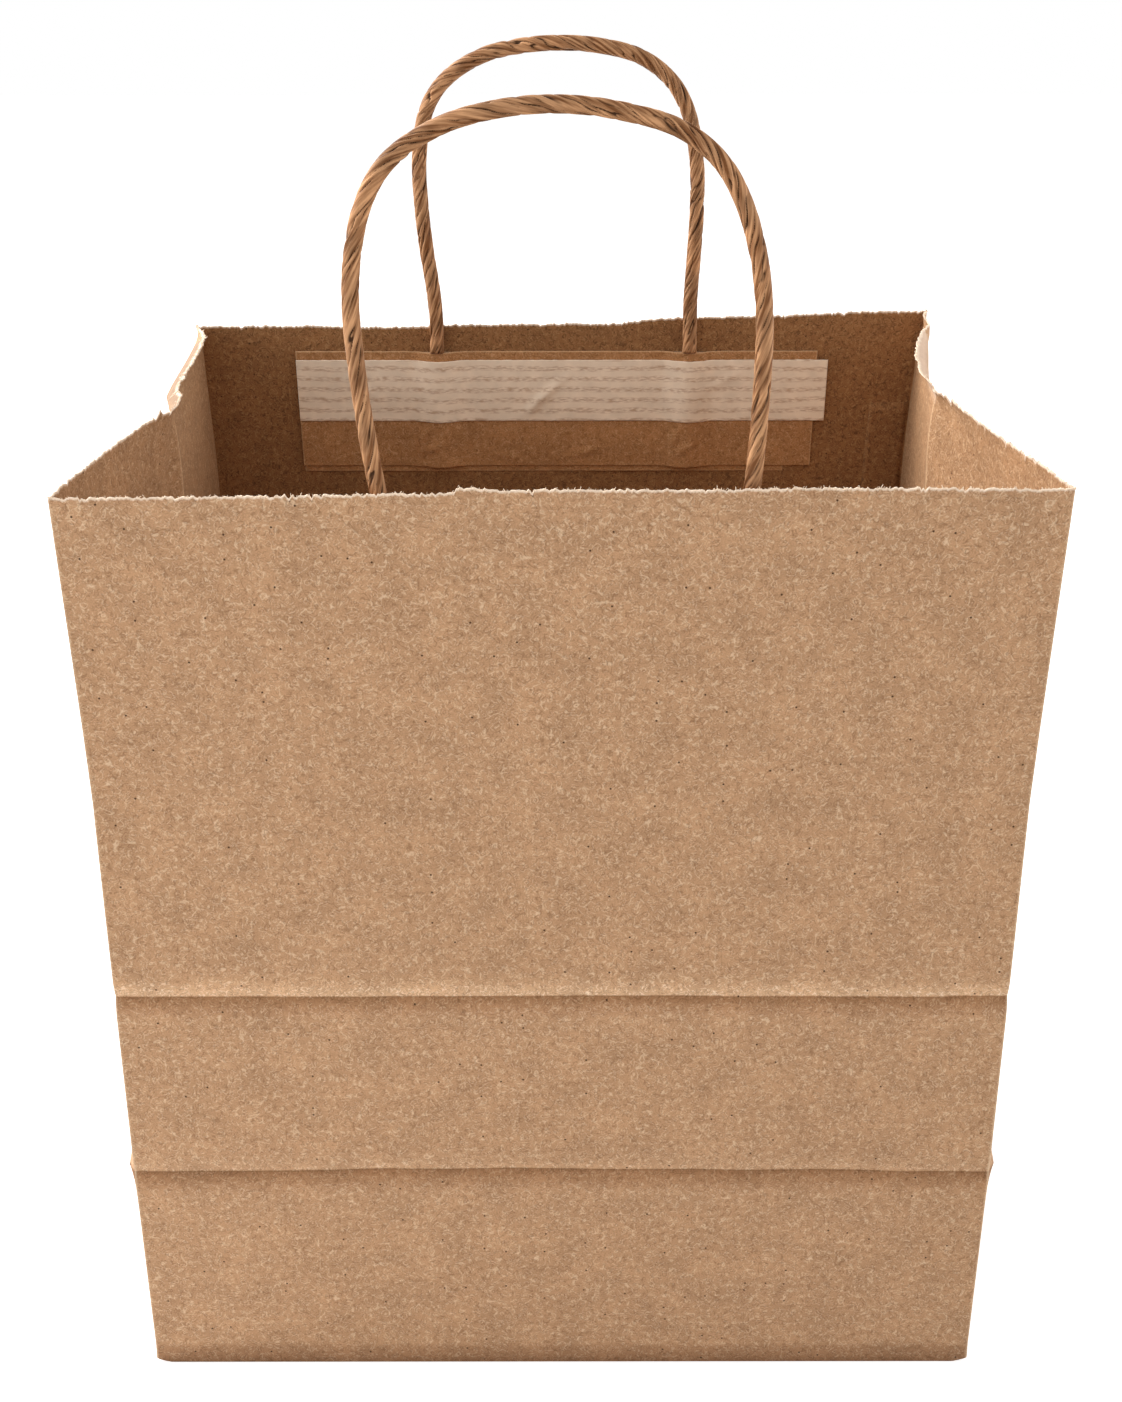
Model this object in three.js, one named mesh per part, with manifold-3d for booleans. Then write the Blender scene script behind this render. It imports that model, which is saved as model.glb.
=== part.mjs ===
// A brown paper takeaway bag: one folded sheet with side gussets and a block bottom,
// and on the inside of its front and rear walls a pair of glued paper patches that hold
// the ends of a twisted paper cord handle.
// Millimetres, +Z up. The origin is the middle of the base's underside,
// the front wall faces -Y and +X is to the right of someone who faces it.
import * as THREE from "three";
import { mergeVertices } from "three/addons/utils/BufferGeometryUtils.js";
import Module from "manifold-3d";

const wasm = await Module();
wasm.setup();

// The sheet
const bagWidth = 270;
const gussetWidth = 180; // each gusset laid flat, and the depth of the base
const bagHeight = 306.6; // floor to rim, middle of the front wall
const sheet = 0.4; // drawn thickness of the paper
const baseEdge = 1.4; // how far the folds round the base are softened
const lapWidth = 15; // glued lap of the tube seam, inside the rear wall

// Pressed folds that stay in the paper from when the bag was packed flat
const lowerFold = 79.6; // front wall, and the front half of each gusset
const upperFold = 144.8; // all round
const foldRidge = 0.9; // how far a fold stands out, or in on the front wall
const foldReach = 6; // height over which a fold fades out, above and below
const diagonalRidge = 0.5; // gusset folds from the base's corners to the centre crease
const foldPinch = 1.5; // gusset paper squeezed out at the front end of the lower fold
const pinchReach = 15;
const pinchShare = 0.25; // share of the half gusset, from its corner, that is squeezed out

// The opened tube leans back a little: how far its middle is behind the base, by height
const waist = 211;
const gripStart = 236; // above this the walls are straight
const leanAtLowerFold = 1.8;
const leanAtUpperFold = 4.8;
const leanAtWaist = 8.2;
const leanAtGrip = 7.6;
const leanAtRim = 4.4;

// Gussets at the rim, pulled in along their centre crease
const creaseDepth = { left: 11.5, right: 13.5 };
const creaseNip = 3.8; // the last bit of the crease, pressed sharp
const nipReach = 0.07; // share of the half gusset that the nip takes
// The lip of each gusset half curls in by this much
const lipLeftFront = 0.6;
const lipLeftRear = 4;
const lipRightFront = 3;
const lipRightRear = 7;
// and most of all at this share of the way from the crease (0) to the corner (1)
const lipCurl = {
  left: { front: { depth: lipLeftFront, peak: 0.5 }, rear: { depth: lipLeftRear, peak: 0.78 } },
  right: { front: { depth: lipRightFront, peak: 0.5 }, rear: { depth: lipRightRear, peak: 0.33 } },
};
const lipHeight = 26;
const lipLimit = 1.4; // the curl stops growing here, in the stock above the rim

// Rim heights from the floor, and the knife's saw teeth along it
const rimFrontLeft = bagHeight - 0.6;
const rimStepLow = bagHeight;
const rimStepHigh = bagHeight + 1.4; // the front rim steps up where the cut slipped
const rimStepX = -27;
const rimFrontRight = bagHeight + 0.7;
const rimRearLeft = bagHeight + 0.7;
const rimRearSag = bagHeight + 1.8;
const rimRearRise = bagHeight + 4.3;
const rimRearRight = bagHeight + 6;
const rimSagStart = -45;
const rimSagEnd = 20;
const rimRiseEnd = 51;
const toothPitch = 2.5;
const toothDepth = 0.7;
const stepRun = 1.25; // width over which the front rim steps up

// Base flaps, folded under one after the other
const flap = 0.4;
const flapOverlap = 24; // how much the two flaps overlap, across the middle

// Twisted paper cords
const cordDiameter = { front: 4.6, rear: 5.2 };
const cordSides = 10;
const cordSteps = 92;
const cordInPatch = 42; // length of each cord end that is glued in
const gluedFlat = 2.2; // thickness that a cord is pressed to between the strips
const pressWiden = 1.3; // and how many times wider it gets
const pressClear = 4; // it stays flat this far above the patch
const pressRun = 8; // and gets round again over this height
const ropePitch = { front: 96.8, rear: 93.3 }; // between the two ends of a cord, in the patch
const ropeCentre = { front: 1.1, rear: 0.9 };
const handleNod = 6; // each handle nods into the bag by this much at its crest
// The middle of each cord from one patch end to the other: x, and height above the front rim
const cordRoute = {
  front: [
    [-48.3, -1],
    [-50.4, 14],
    [-52.5, 34],
    [-53.3, 50],
    [-52.2, 63],
    [-48.8, 75.6],
    [-42.5, 85.2],
    [-29.5, 93.4],
    [-14.7, 97.4],
    [0, 98.4],
    [14.7, 96.8],
    [29.6, 92.5],
    [39.4, 85.1],
    [45.4, 75.4],
    [49.7, 62],
    [51.7, 48],
    [52, 32],
    [51.4, 14],
    [50.4, -1],
  ],
  rear: [
    [-45.6, 4.5],
    [-46.4, 16],
    [-48.3, 31],
    [-49.6, 48],
    [-49.6, 63],
    [-46.4, 79.6],
    [-39.6, 89.6],
    [-27.3, 97.4],
    [-13.6, 100.8],
    [0, 101.8],
    [13.7, 100.8],
    [27.4, 97.2],
    [37.9, 89.5],
    [44, 79.4],
    [47.7, 63],
    [48.5, 45],
    [48, 28],
    [47.3, 12],
    [47.4, 3],
  ],
};

// Patches and tape on the inside of each wall
const patchTop = bagHeight - 7.8; // height of the patch's top edge
const patchHeight = 48.2;
const coverLength = 190;
const coverCentre = { front: 2.5, rear: -2.5 };
const coverShort = 2.4; // the cover strip ends this much above the back strip
const backLength = 180.6;
const backCentre = { front: 8.3, rear: -8.3 };
const backDrop = 0.6; // the back strip's top edge sits this much lower
const patchPaper = 0.3;
const tapeCentre = { front: -0.4, rear: 0.4 };
const tapeLength = 198;
const tapeHeight = 24;
const tapeDrop = 3.3; // from the patch's top edge to the tape's
const tapePaper = 0.25;
const seat = 0.3; // gap between two glued layers
const bulgeReach = 11; // half the width of the bulge over a cord
const bulgeSteps = 14;

const halfWidth = bagWidth / 2;
const halfGusset = gussetWidth / 2;
const baseTop = 2 * flap; // underside of the sheet, above the flaps
const cutAbove = 14; // the walls are drawn this much too tall, and then cut to the rim
const cutPast = 20; // and the cutting blocks run this far past them
const topOfStock = Math.max(rimRearRight, rimStepHigh, bagHeight) + cutAbove;

// Straight-line reading of a list of [at, value] pairs, carried on past its last pair
function along(pairs, at) {
  let i = 1;
  while (i < pairs.length - 1 && at > pairs[i][0]) i += 1;
  const [x0, y0] = pairs[i - 1];
  const [x1, y1] = pairs[i];
  return y0 + ((y1 - y0) * (at - x0)) / (x1 - x0);
}

// 1 at a fold, falling to 0 at reach above and below it
const tent = (distance, reach) => Math.max(0, 1 - Math.abs(distance) / reach);

function leanAt(z) {
  return along(
    [
      [0, 0],
      [lowerFold, leanAtLowerFold],
      [upperFold, leanAtUpperFold],
      [waist, leanAtWaist],
      [gripStart, leanAtGrip],
      [bagHeight, leanAtRim],
    ],
    z,
  );
}

// 0 up to the lower fold, 1 at the rim
const opening = (z) => Math.max(0, (z - lowerFold) / (bagHeight - lowerFold));

// Half the depth of the tube: the gusset's paper can't stretch, so pulling it in shortens it
function halfDepthAt(z) {
  const pulledIn = ((creaseDepth.left + creaseDepth.right) / 2) * opening(z);
  return Math.sqrt(halfGusset ** 2 - pulledIn ** 2);
}

// How far a gusset's paper lies inside the straight side, with s from -1 (front) to 1 (rear)
function gussetInset(side, s, z) {
  const share = Math.abs(s);
  const half = s < 0 ? "front" : "rear";
  const { depth, peak } = lipCurl[side][half];
  const bow = Math.sin(Math.PI * share ** (Math.log(0.5) / Math.log(peak)));
  const lip = Math.max(0, 1 - (bagHeight - z) / lipHeight) ** 2;
  const fold = creaseDepth[side] * (1 - share) + creaseNip * tent(share, nipReach);
  return fold * opening(z) + depth * bow * Math.min(lip, lipLimit);
}

// How far the folds stand out of a gusset
function gussetRidge(s, z) {
  const diagonal = z < lowerFold ? tent(z - lowerFold * (1 - Math.abs(s)), foldReach) : 0;
  const fromCorner = Math.min(1, (1 + s) / pinchShare);
  const pinch = foldPinch * Math.sin(Math.PI * fromCorner) * tent(z - lowerFold, pinchReach);
  const pressed = foldRidge * tent(z - upperFold, foldReach);
  const frontPressed = s < 0 ? foldRidge * tent(z - lowerFold, foldReach) : 0;
  return diagonalRidge * diagonal + pinch + (pressed + frontPressed) * (1 - Math.abs(s));
}

// The front wall was on the inside of both folds, so they are valleys there
const frontValley = (z) =>
  foldRidge * (tent(z - lowerFold, foldReach) + tent(z - upperFold, foldReach));
const rearRidge = (z) => foldRidge * tent(z - upperFold, foldReach);

// Outer face of the front (side -1) and rear (side 1) wall
function wallY(side, z) {
  const ridge = side < 0 ? -frontValley(z) : rearRidge(z);
  return leanAt(z) + side * (halfDepthAt(z) + ridge);
}

// Stations round the tube, counter-clockwise from the front left corner: each is
// a place x across the front or rear wall, or a place s along a gusset
const wallCells = 6;
const gussetMarks = [0, nipReach, 0.125, 0.25, 0.375, 0.5, 0.625, 0.75, 0.875, 1];
const seamEdge = halfWidth - lapWidth;

function stations() {
  const list = [];
  const marksUp = [...gussetMarks.slice(1).reverse().map((m) => -m), ...gussetMarks];
  const wallMarks = Array.from({ length: wallCells }, (_, i) => (2 * i) / wallCells - 1);
  for (const m of wallMarks) list.push({ x: m * halfWidth, s: -1 });
  for (const s of marksUp.slice(0, -1)) list.push({ x: halfWidth, s, side: "right" });
  list.push({ x: halfWidth, s: 1 });
  list.push({ x: seamEdge + sheet / 2, s: 1 });
  list.push({ x: seamEdge - sheet / 2, s: 1 });
  for (const m of wallMarks.slice(1).reverse()) list.push({ x: m * halfWidth, s: 1 });
  for (const s of marksUp.slice(1).reverse()) list.push({ x: -halfWidth, s, side: "left" });
  return list;
}

// Heights of the rings: the base, the diagonals' steps, each fold with the ends of its reach
function rings() {
  const diagonal = gussetMarks.filter((m) => m > nipReach && m < 1).map((m) => m * lowerFold);
  return [
    baseTop,
    baseTop + baseEdge,
    ...diagonal,
    lowerFold - foldReach / 2,
    lowerFold,
    lowerFold + foldReach,
    (lowerFold + upperFold) / 2,
    upperFold - foldReach,
    upperFold,
    upperFold + foldReach,
    (upperFold + waist) / 2,
    waist,
    gripStart,
    bagHeight - lipHeight,
    bagHeight - lipHeight / 2,
    bagHeight - lipHeight / 5,
    topOfStock,
  ].sort((a, b) => a - b);
}

// One closed skin of the tube: a lathe with a facet for each station and a ring for each
// height, whose points are then moved to the folded section. inward is 0 for the outer skin
// and the paper's thickness for the inner one.
function skin(inward) {
  const round = stations();
  const heights = rings();
  const top = heights.length - 1;
  const profile = [new THREE.Vector2(0, 0)];
  heights.forEach((_, j) => profile.push(new THREE.Vector2(1, j)));
  profile.push(new THREE.Vector2(0, top));
  const lathe = new THREE.LatheGeometry(profile, round.length);
  const points = lathe.attributes.position;
  const ringSize = profile.length;
  for (let i = 0; i < points.count; i += 1) {
    const station = round[Math.floor(i / ringSize) % round.length];
    const row = i % ringSize;
    const onAxis = row === 0 || row === ringSize - 1;
    const ring = Math.min(Math.max(row - 1, 0), top);
    let z = heights[ring];
    if (ring < 2) z += inward;
    if (ring === top) z += inward;
    const p = onAxis ? new THREE.Vector3(0, leanAt(z), z) : tubePoint(station, z, ring, inward);
    points.setXYZ(i, p.x, p.y, p.z);
  }
  turnCells(lathe, round, ringSize);
  return solid(lathe);
}

// Each cell of a lathe is cut into two triangles the same way. On the half of a gusset that
// comes first round the tube, the diagonal fold runs the other way, so those cells are cut
// along their other diagonal.
function turnCells(lathe, round, ringSize) {
  const index = lathe.index;
  const cellsUp = ringSize - 1;
  round.forEach((station, i) => {
    const firstHalf = station.side === "right" ? station.s < 0 : station.s > 0;
    if (!station.side || !firstHalf) return;
    for (let j = 1; j < cellsUp - 1; j += 1) {
      const a = i * ringSize + j;
      const b = a + ringSize;
      const at = 6 * (i * cellsUp + j);
      [a, b, b + 1, b + 1, a + 1, a].forEach((v, k) => index.setX(at + k, v));
    }
  });
}

// A station's point at one height, moved in by the paper's thickness for the inner skin
function tubePoint(station, z, ring, inward) {
  const { x, s, side } = station;
  const soften = ring === 0 ? baseEdge : 0;
  const corner = Math.abs(x) === halfWidth;
  let px = x;
  let py = leanAt(z) + s * halfDepthAt(z);
  if (side) px -= Math.sign(x) * (gussetInset(side, s, z) - gussetRidge(s, z));
  if (s === -1) py = wallY(-1, z);
  if (s === 1) py = wallY(1, z);
  if (corner) px -= Math.sign(x) * (inward + soften);
  if (s === -1) py += inward + soften;
  if (s === 1) py -= inward + soften;
  const inLap = s === 1 && x > seamEdge && inward > 0;
  if (inLap) py -= sheet;
  return new THREE.Vector3(px, py, z);
}

// A geometry as a solid that can be joined and cut
function solid(geometry) {
  const bare = geometry.clone();
  bare.deleteAttribute("normal");
  bare.deleteAttribute("uv");
  const merged = mergeVertices(bare, 1e-4);
  const mesh = new wasm.Mesh({
    numProp: 3,
    vertProperties: merged.attributes.position.array,
    triVerts: new Uint32Array(merged.index.array),
  });
  return new wasm.Manifold(mesh);
}

function geometryOf(manifold) {
  const mesh = manifold.getMesh();
  const geometry = new THREE.BufferGeometry();
  geometry.setAttribute("position", new THREE.BufferAttribute(mesh.vertProperties, 3));
  geometry.setIndex(new THREE.BufferAttribute(mesh.triVerts, 1));
  return geometry;
}

// Saw teeth along a line of [along the wall, height] pairs
function sawTeeth(line) {
  const from = line[0][0];
  const to = line[line.length - 1][0];
  const teeth = Math.max(1, Math.round(Math.abs(to - from) / toothPitch));
  const points = [];
  for (let i = 0; i <= 2 * teeth; i += 1) {
    const at = from + ((to - from) * i) / (2 * teeth);
    const height = along(line, at) - (i % 2 ? toothDepth : 0);
    points.push(new THREE.Vector2(at, height));
  }
  return points;
}

// Everything above a toothed line, as a block from one depth to another.
// across is the direction that the line runs in, and through the one that the block is deep in.
function waste(line, across, through, deep) {
  const teeth = sawTeeth(line);
  const over = topOfStock + cutAbove;
  const outline = new THREE.Shape([
    ...teeth,
    new THREE.Vector2(teeth[teeth.length - 1].x, over),
    new THREE.Vector2(teeth[0].x, over),
  ]);
  const block = new THREE.ExtrudeGeometry(outline, { depth: deep, bevelEnabled: false });
  const up = new THREE.Vector3(0, 0, 1);
  block.applyMatrix4(new THREE.Matrix4().makeBasis(across, up, through));
  return block;
}

const axisX = new THREE.Vector3(1, 0, 0);
const axisY = new THREE.Vector3(0, 1, 0);

// The four blocks that cut the walls to the rim
function rimCutters() {
  const out = halfWidth + cutPast;
  const splitFront = wallY(-1, bagHeight) + 2 * sheet; // just inside the front wall
  const splitRear = wallY(1, bagHeight) - 3 * sheet; // just inside the rear wall's glued lap
  const front = waste(
    [
      [-out, rimFrontLeft],
      [-halfWidth, rimFrontLeft],
      [rimStepX - stepRun / 2, rimStepLow],
      [rimStepX + stepRun / 2, rimStepHigh],
      [halfWidth, rimFrontRight],
      [out, rimFrontRight],
    ],
    axisX,
    axisY.clone().negate(),
    cutPast,
  ).translate(0, splitFront, 0);
  const rear = waste(
    [
      [-out, rimRearLeft],
      [rimSagStart, rimRearLeft],
      [rimSagEnd, rimRearSag],
      [rimRiseEnd, rimRearRise],
      [halfWidth, rimRearRight],
      [out, rimRearRight],
    ],
    axisX,
    axisY.clone().negate(),
    cutPast,
  ).translate(0, splitRear + cutPast, 0);
  const sideLine = (low, high) => [
    [splitFront, low],
    [splitRear, high],
  ];
  const sides = [
    waste(sideLine(rimFrontRight, rimRearRight), axisY, axisX, out),
    waste(sideLine(rimFrontLeft, rimRearLeft), axisY, axisX, out).translate(-out, 0, 0),
  ];
  return [front, rear, ...sides].map(solid);
}

// A base flap: a trapezium that narrows at 45 degrees from its fold, along the front or rear edge
function baseFlap(side, low, high) {
  const reach = halfGusset + flapOverlap / 2;
  const foldHalf = halfWidth - baseEdge;
  const outline = new THREE.Shape([
    new THREE.Vector2(-foldHalf, 0),
    new THREE.Vector2(foldHalf, 0),
    new THREE.Vector2(foldHalf - reach + baseEdge, reach - baseEdge),
    new THREE.Vector2(-foldHalf + reach - baseEdge, reach - baseEdge),
  ]);
  const plate = new THREE.ExtrudeGeometry(outline, { depth: high - low, bevelEnabled: false });
  if (side > 0) plate.rotateZ(Math.PI);
  plate.translate(0, side * (halfGusset - baseEdge), low);
  return solid(plate);
}

function bagBody() {
  const shell = skin(0).subtract(skin(sheet));
  const cut = rimCutters().reduce((left, cutter) => left.subtract(cutter), shell);
  const bite = sheet / 2;
  const rearFlap = baseFlap(1, flap, baseTop + bite);
  const frontFlap = baseFlap(-1, 0, baseTop + bite);
  return cut.add(rearFlap).add(frontFlap);
}

// Inner face of the front (side -1) or rear (side 1) wall, where the patches are glued
const innerWallY = (side, z) => wallY(side, z) - side * sheet;

// The frame of a patch: x along the wall, y away from its inner face, z up it,
// from the middle of the patch's top edge
function patchFrame(side) {
  const foot = patchTop - patchHeight;
  const rise = innerWallY(side, patchTop) - innerWallY(side, foot);
  const up = new THREE.Vector3(0, rise, patchHeight).normalize();
  const across = new THREE.Vector3(-side, 0, 0);
  const away = new THREE.Vector3().crossVectors(up, across);
  const frame = new THREE.Group();
  frame.quaternion.setFromRotationMatrix(new THREE.Matrix4().makeBasis(across, away, up));
  frame.position.set(0, innerWallY(side, patchTop), patchTop);
  return frame;
}

const backLevel = seat;
const coverLevel = backLevel + patchPaper + seat;
const tapeLevel = coverLevel + patchPaper + seat;
const cordLevel = backLevel + patchPaper + seat;
const cordDepth = (hand) => cordLevel + cordDiameter[hand] / 2;

// A strip glued along the wall. Its outline across the wall has a bulge over each cord
// in cords, a list of their places, and is drawn up to the strip's height.
function strip(from, to, level, thickness, height, cords, bulge) {
  const lift = (x) => {
    const near = cords.map((c) => Math.min(1, Math.abs(x - c) / bulgeReach));
    return near.reduce((sum, d) => sum + (bulge * (1 + Math.cos(Math.PI * d))) / 2, 0);
  };
  const marks = [from];
  for (const c of [...cords].sort((a, b) => a - b)) {
    for (let i = 0; i <= bulgeSteps; i += 1) {
      marks.push(c - bulgeReach + (2 * bulgeReach * i) / bulgeSteps);
    }
  }
  marks.push(to);
  const under = marks.map((x) => new THREE.Vector2(x, level + lift(x)));
  const over = marks.map((x) => new THREE.Vector2(x, level + thickness + lift(x))).reverse();
  const outline = new THREE.Shape([...under, ...over]);
  return new THREE.ExtrudeGeometry(outline, { depth: height, bevelEnabled: false });
}

// The three strips inside one wall
function addPatch(parent, hand) {
  const side = hand === "front" ? -1 : 1;
  const frame = patchFrame(side);
  const local = (x) => -side * x;
  const ends = (centre, length) => [local(centre) - length / 2, local(centre) + length / 2];
  const cords = [-1, 1].map((end) => local(ropeCentre[hand] + (end * ropePitch[hand]) / 2));
  const bulge = gluedFlat + seat;
  const backHeight = patchHeight - backDrop;
  const coverHeight = patchHeight - coverShort;
  const back = strip(
    ...ends(backCentre[hand], backLength),
    backLevel,
    patchPaper,
    backHeight,
    [],
    0,
  ).translate(0, 0, -backDrop - backHeight);
  const cover = strip(
    ...ends(coverCentre[hand], coverLength),
    coverLevel,
    patchPaper,
    coverHeight,
    cords,
    bulge,
  ).translate(0, 0, -coverHeight);
  const tape = strip(
    ...ends(tapeCentre[hand], tapeLength),
    tapeLevel,
    tapePaper,
    tapeHeight,
    cords,
    bulge,
  ).translate(0, 0, -tapeDrop - tapeHeight);
  addMesh(frame, `${hand}_patch_back`, back, kraftPatch);
  addMesh(frame, `${hand}_patch_cover`, cover, kraftPatch);
  addMesh(frame, `${hand}_patch_tape`, tape, whiteTape);
  parent.add(frame);
}

// The middle of a cord: up out of the patch, over the crest and back into it
function cordPath(hand) {
  const side = hand === "front" ? -1 : 1;
  const frame = patchFrame(side);
  frame.updateMatrixWorld();
  const inPatch = (end, down) => {
    const x = -side * (ropeCentre[hand] + (end * ropePitch[hand]) / 2);
    return new THREE.Vector3(x, cordDepth(hand), -down).applyMatrix4(frame.matrixWorld);
  };
  const ending = [1, 0.5, 0.125, 0].map((share) => share * cordInPatch);
  const route = cordRoute[hand];
  const crest = Math.max(...route.map(([, above]) => above));
  const rimY = inPatch(1, patchTop - bagHeight).y;
  const free = route.map(([x, above]) => {
    const nod = handleNod * Math.max(0, above / crest) ** 2;
    return new THREE.Vector3(x, rimY - side * nod, bagHeight + above);
  });
  return new THREE.CatmullRomCurve3([
    ...ending.map((down) => inPatch(-1, down)),
    ...free,
    ...[...ending].reverse().map((down) => inPatch(1, down)),
  ]);
}

function addCord(parent, hand) {
  const section = new THREE.Shape().absarc(0, 0, cordDiameter[hand] / 2, 0, 2 * Math.PI);
  const cord = new THREE.ExtrudeGeometry(section, {
    steps: cordSteps,
    curveSegments: cordSides / 2,
    extrudePath: cordPath(hand),
    bevelEnabled: false,
  });
  pressEnds(cord, hand);
  addMesh(parent, `${hand}_cord`, cord, kraftCord);
}

// Presses what lies in the patch flat on the back strip
function pressEnds(cord, hand) {
  const side = hand === "front" ? -1 : 1;
  const frame = patchFrame(side);
  frame.updateMatrixWorld();
  const points = cord.attributes.position;
  const p = new THREE.Vector3();
  for (let i = 0; i < points.count; i += 1) {
    frame.worldToLocal(p.fromBufferAttribute(points, i));
    const pressed = THREE.MathUtils.smoothstep(-p.z, -pressClear - pressRun, -pressClear);
    const end = -side * Math.sign(p.x);
    const middle = -side * (ropeCentre[hand] + (end * ropePitch[hand]) / 2);
    const flatter = THREE.MathUtils.lerp(1, gluedFlat / cordDiameter[hand], pressed);
    const wider = THREE.MathUtils.lerp(1, pressWiden, pressed);
    p.set(middle + (p.x - middle) * wider, cordLevel + (p.y - cordLevel) * flatter, p.z);
    frame.localToWorld(p);
    points.setXYZ(i, p.x, p.y, p.z);
  }
}

const kraft = (color) =>
  new THREE.MeshStandardMaterial({ color, roughness: 0.85, metalness: 0 });
const kraftOuter = kraft(0xb8906d);
const kraftCord = kraft(0xa97c54);
const kraftPatch = kraft(0x9a6a43);
const whiteTape = kraft(0xd8ccbe);

function addMesh(parent, name, geometry, material) {
  const mesh = new THREE.Mesh(geometry, material.clone());
  mesh.name = name;
  parent.add(mesh);
}

const bag = new THREE.Group();
addMesh(bag, "bag_body", geometryOf(bagBody()), kraftOuter);
for (const hand of ["front", "rear"]) {
  addPatch(bag, hand);
  addCord(bag, hand);
}

export default bag;
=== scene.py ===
# %% [markdown]
# # A brown paper takeaway bag
#
# The object is one folded sheet of kraft paper with a block bottom and side gussets, and two
# twisted paper cord handles that are glued inside under paper patches.
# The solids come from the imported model. This lesson dresses them: each piece gets the folds,
# the ragged rim and the paper that the real bag has.

import math
import bpy
import bmesh
import numpy as np
from mathutils import Matrix, Vector


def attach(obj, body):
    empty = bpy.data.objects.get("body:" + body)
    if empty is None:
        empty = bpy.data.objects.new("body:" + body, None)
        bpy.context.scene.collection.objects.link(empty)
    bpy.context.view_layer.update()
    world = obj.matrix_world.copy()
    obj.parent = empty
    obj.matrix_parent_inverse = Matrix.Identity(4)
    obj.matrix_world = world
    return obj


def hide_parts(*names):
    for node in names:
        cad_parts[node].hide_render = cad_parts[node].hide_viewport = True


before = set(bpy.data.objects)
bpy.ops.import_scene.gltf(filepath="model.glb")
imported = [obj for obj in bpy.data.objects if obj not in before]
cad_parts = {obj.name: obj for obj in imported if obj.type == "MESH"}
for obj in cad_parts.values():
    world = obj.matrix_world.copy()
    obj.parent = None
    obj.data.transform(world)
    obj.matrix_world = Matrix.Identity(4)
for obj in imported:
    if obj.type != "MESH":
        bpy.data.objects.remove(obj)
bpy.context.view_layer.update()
MM = 0.001
print("solids:", ", ".join(sorted(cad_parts)))

# %% [markdown]
# ## The camera
#
# A product photographer looks down a little into the bag, so that the mouth shows. The camera is
# written with the numbers that a view camera has: how far the picture lies behind the lens, and
# how much the picture is shifted to keep the upright edges from leaning too much.

# %% Camera
picture_wide, picture_high = 1122, 1402
lens_to_picture = 1536  # in widths of a pixel
level_row, level_column = 546.2, 561.0  # the spot that the lens looks at straight on
camera_place = (0, -463.4, 445.8)  # in mm
tilt_down, roll = 22.06, -0.06  # in degrees

lens = bpy.data.cameras.new("product_camera")
lens.sensor_width = 36
lens.lens = lens.sensor_width * lens_to_picture / picture_high
lens.shift_x = (picture_wide / 2 - level_column) / picture_high
lens.shift_y = (level_row - picture_high / 2) / picture_high
camera = bpy.data.objects.new("product_camera", lens)
tilted = Matrix.Rotation(math.radians(90 - tilt_down), 4, "X")
rolled = Matrix.Rotation(math.radians(roll), 4, "Z")
camera.matrix_world = Matrix.Translation(Vector(camera_place) * MM) @ tilted @ rolled
bpy.context.scene.collection.objects.link(camera)
bpy.context.scene.camera = camera
print("lens", round(lens.lens, 2), "mm, shift", round(lens.shift_y, 3))

# %% [markdown]
# ## How the sheet is folded
#
# Every piece of the bag lies on the same folded walls, so the walls are written once as rules.
# The rules give the outside of the sheet in millimetres: how far the walls lean back at each
# height, how deep the gussets are pulled in, and how far the pressed folds stand out.
# Most are the sizes that the solids were made with. The front's folds and the heights of the
# rim are given more finely here.

# %% Sizes of the bag
bag_width, gusset_width, bag_height = 270, 180, 306.6
half_width, half_gusset = bag_width / 2, gusset_width / 2
sheet = 0.4
lower_fold, upper_fold = 79.6, 144.8
fold_line = {"lower": (81.0, 1.0), "upper": (145.3, 0.3)}  # on the front: middle, and bow
base_top = 0.2
crease_depth = {"left": 11.5, "right": 13.5}
gusset_rim = {"left": (306.15, 308.4), "right": (308.8, 313.9)}  # height at front and rear


def lean(z):
    """How far the middle of the bag lies behind its base at height z."""
    heights = [0, lower_fold, upper_fold, 211, 236, bag_height, 330]
    return np.interp(z, heights, [0, 1.8, 4.8, 8.2, 7.6, 4.4, 3.34])


def opening(z):
    """0 up to the lower fold and 1 at the rim: how much the gussets are pulled in."""
    return np.clip((z - lower_fold) / (bag_height - lower_fold), 0, None)


def half_depth(z):
    pulled = (crease_depth["left"] + crease_depth["right"]) / 2 * opening(z)
    return np.sqrt(half_gusset**2 - pulled**2)


def inner_wall(side, z):
    """Inner face of the front (-1) or rear (1) wall, where the patches are glued."""
    return lean(z) + side * (half_depth(z) - sheet)


print("mouth is", round(float(2 * half_depth(bag_height)), 1), "mm deep")

# %% [markdown]
# ## One helper for nodes
#
# Shader nodes and geometry nodes are made the same way: choose a kind, set its options, then
# give each input a number or the output of another node. One small function does that.

# %% Node helper and colours
def add(tree, kind, inputs=None, **options):
    """Adds a node. inputs maps a socket's name or number to a value or to another socket."""
    node = tree.nodes.new(kind)
    for option, value in options.items():
        setattr(node, option, value)
    for socket, value in (inputs or {}).items():
        if isinstance(value, bpy.types.NodeSocket):
            tree.links.new(value, node.inputs[socket])
        else:
            node.inputs[socket].default_value = value
    return node


def paint(hex_colour):
    """An sRGB hex colour as the linear colour that shaders work in."""
    parts = [int(hex_colour[i : i + 2], 16) / 255 for i in (1, 3, 5)]
    linear = [c / 12.92 if c <= 0.04045 else ((c + 0.055) / 1.055) ** 2.4 for c in parts]
    return (*linear, 1)


print("kraft brown in linear light:", [round(c, 3) for c in paint("#b8906d")[:3]])

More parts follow.
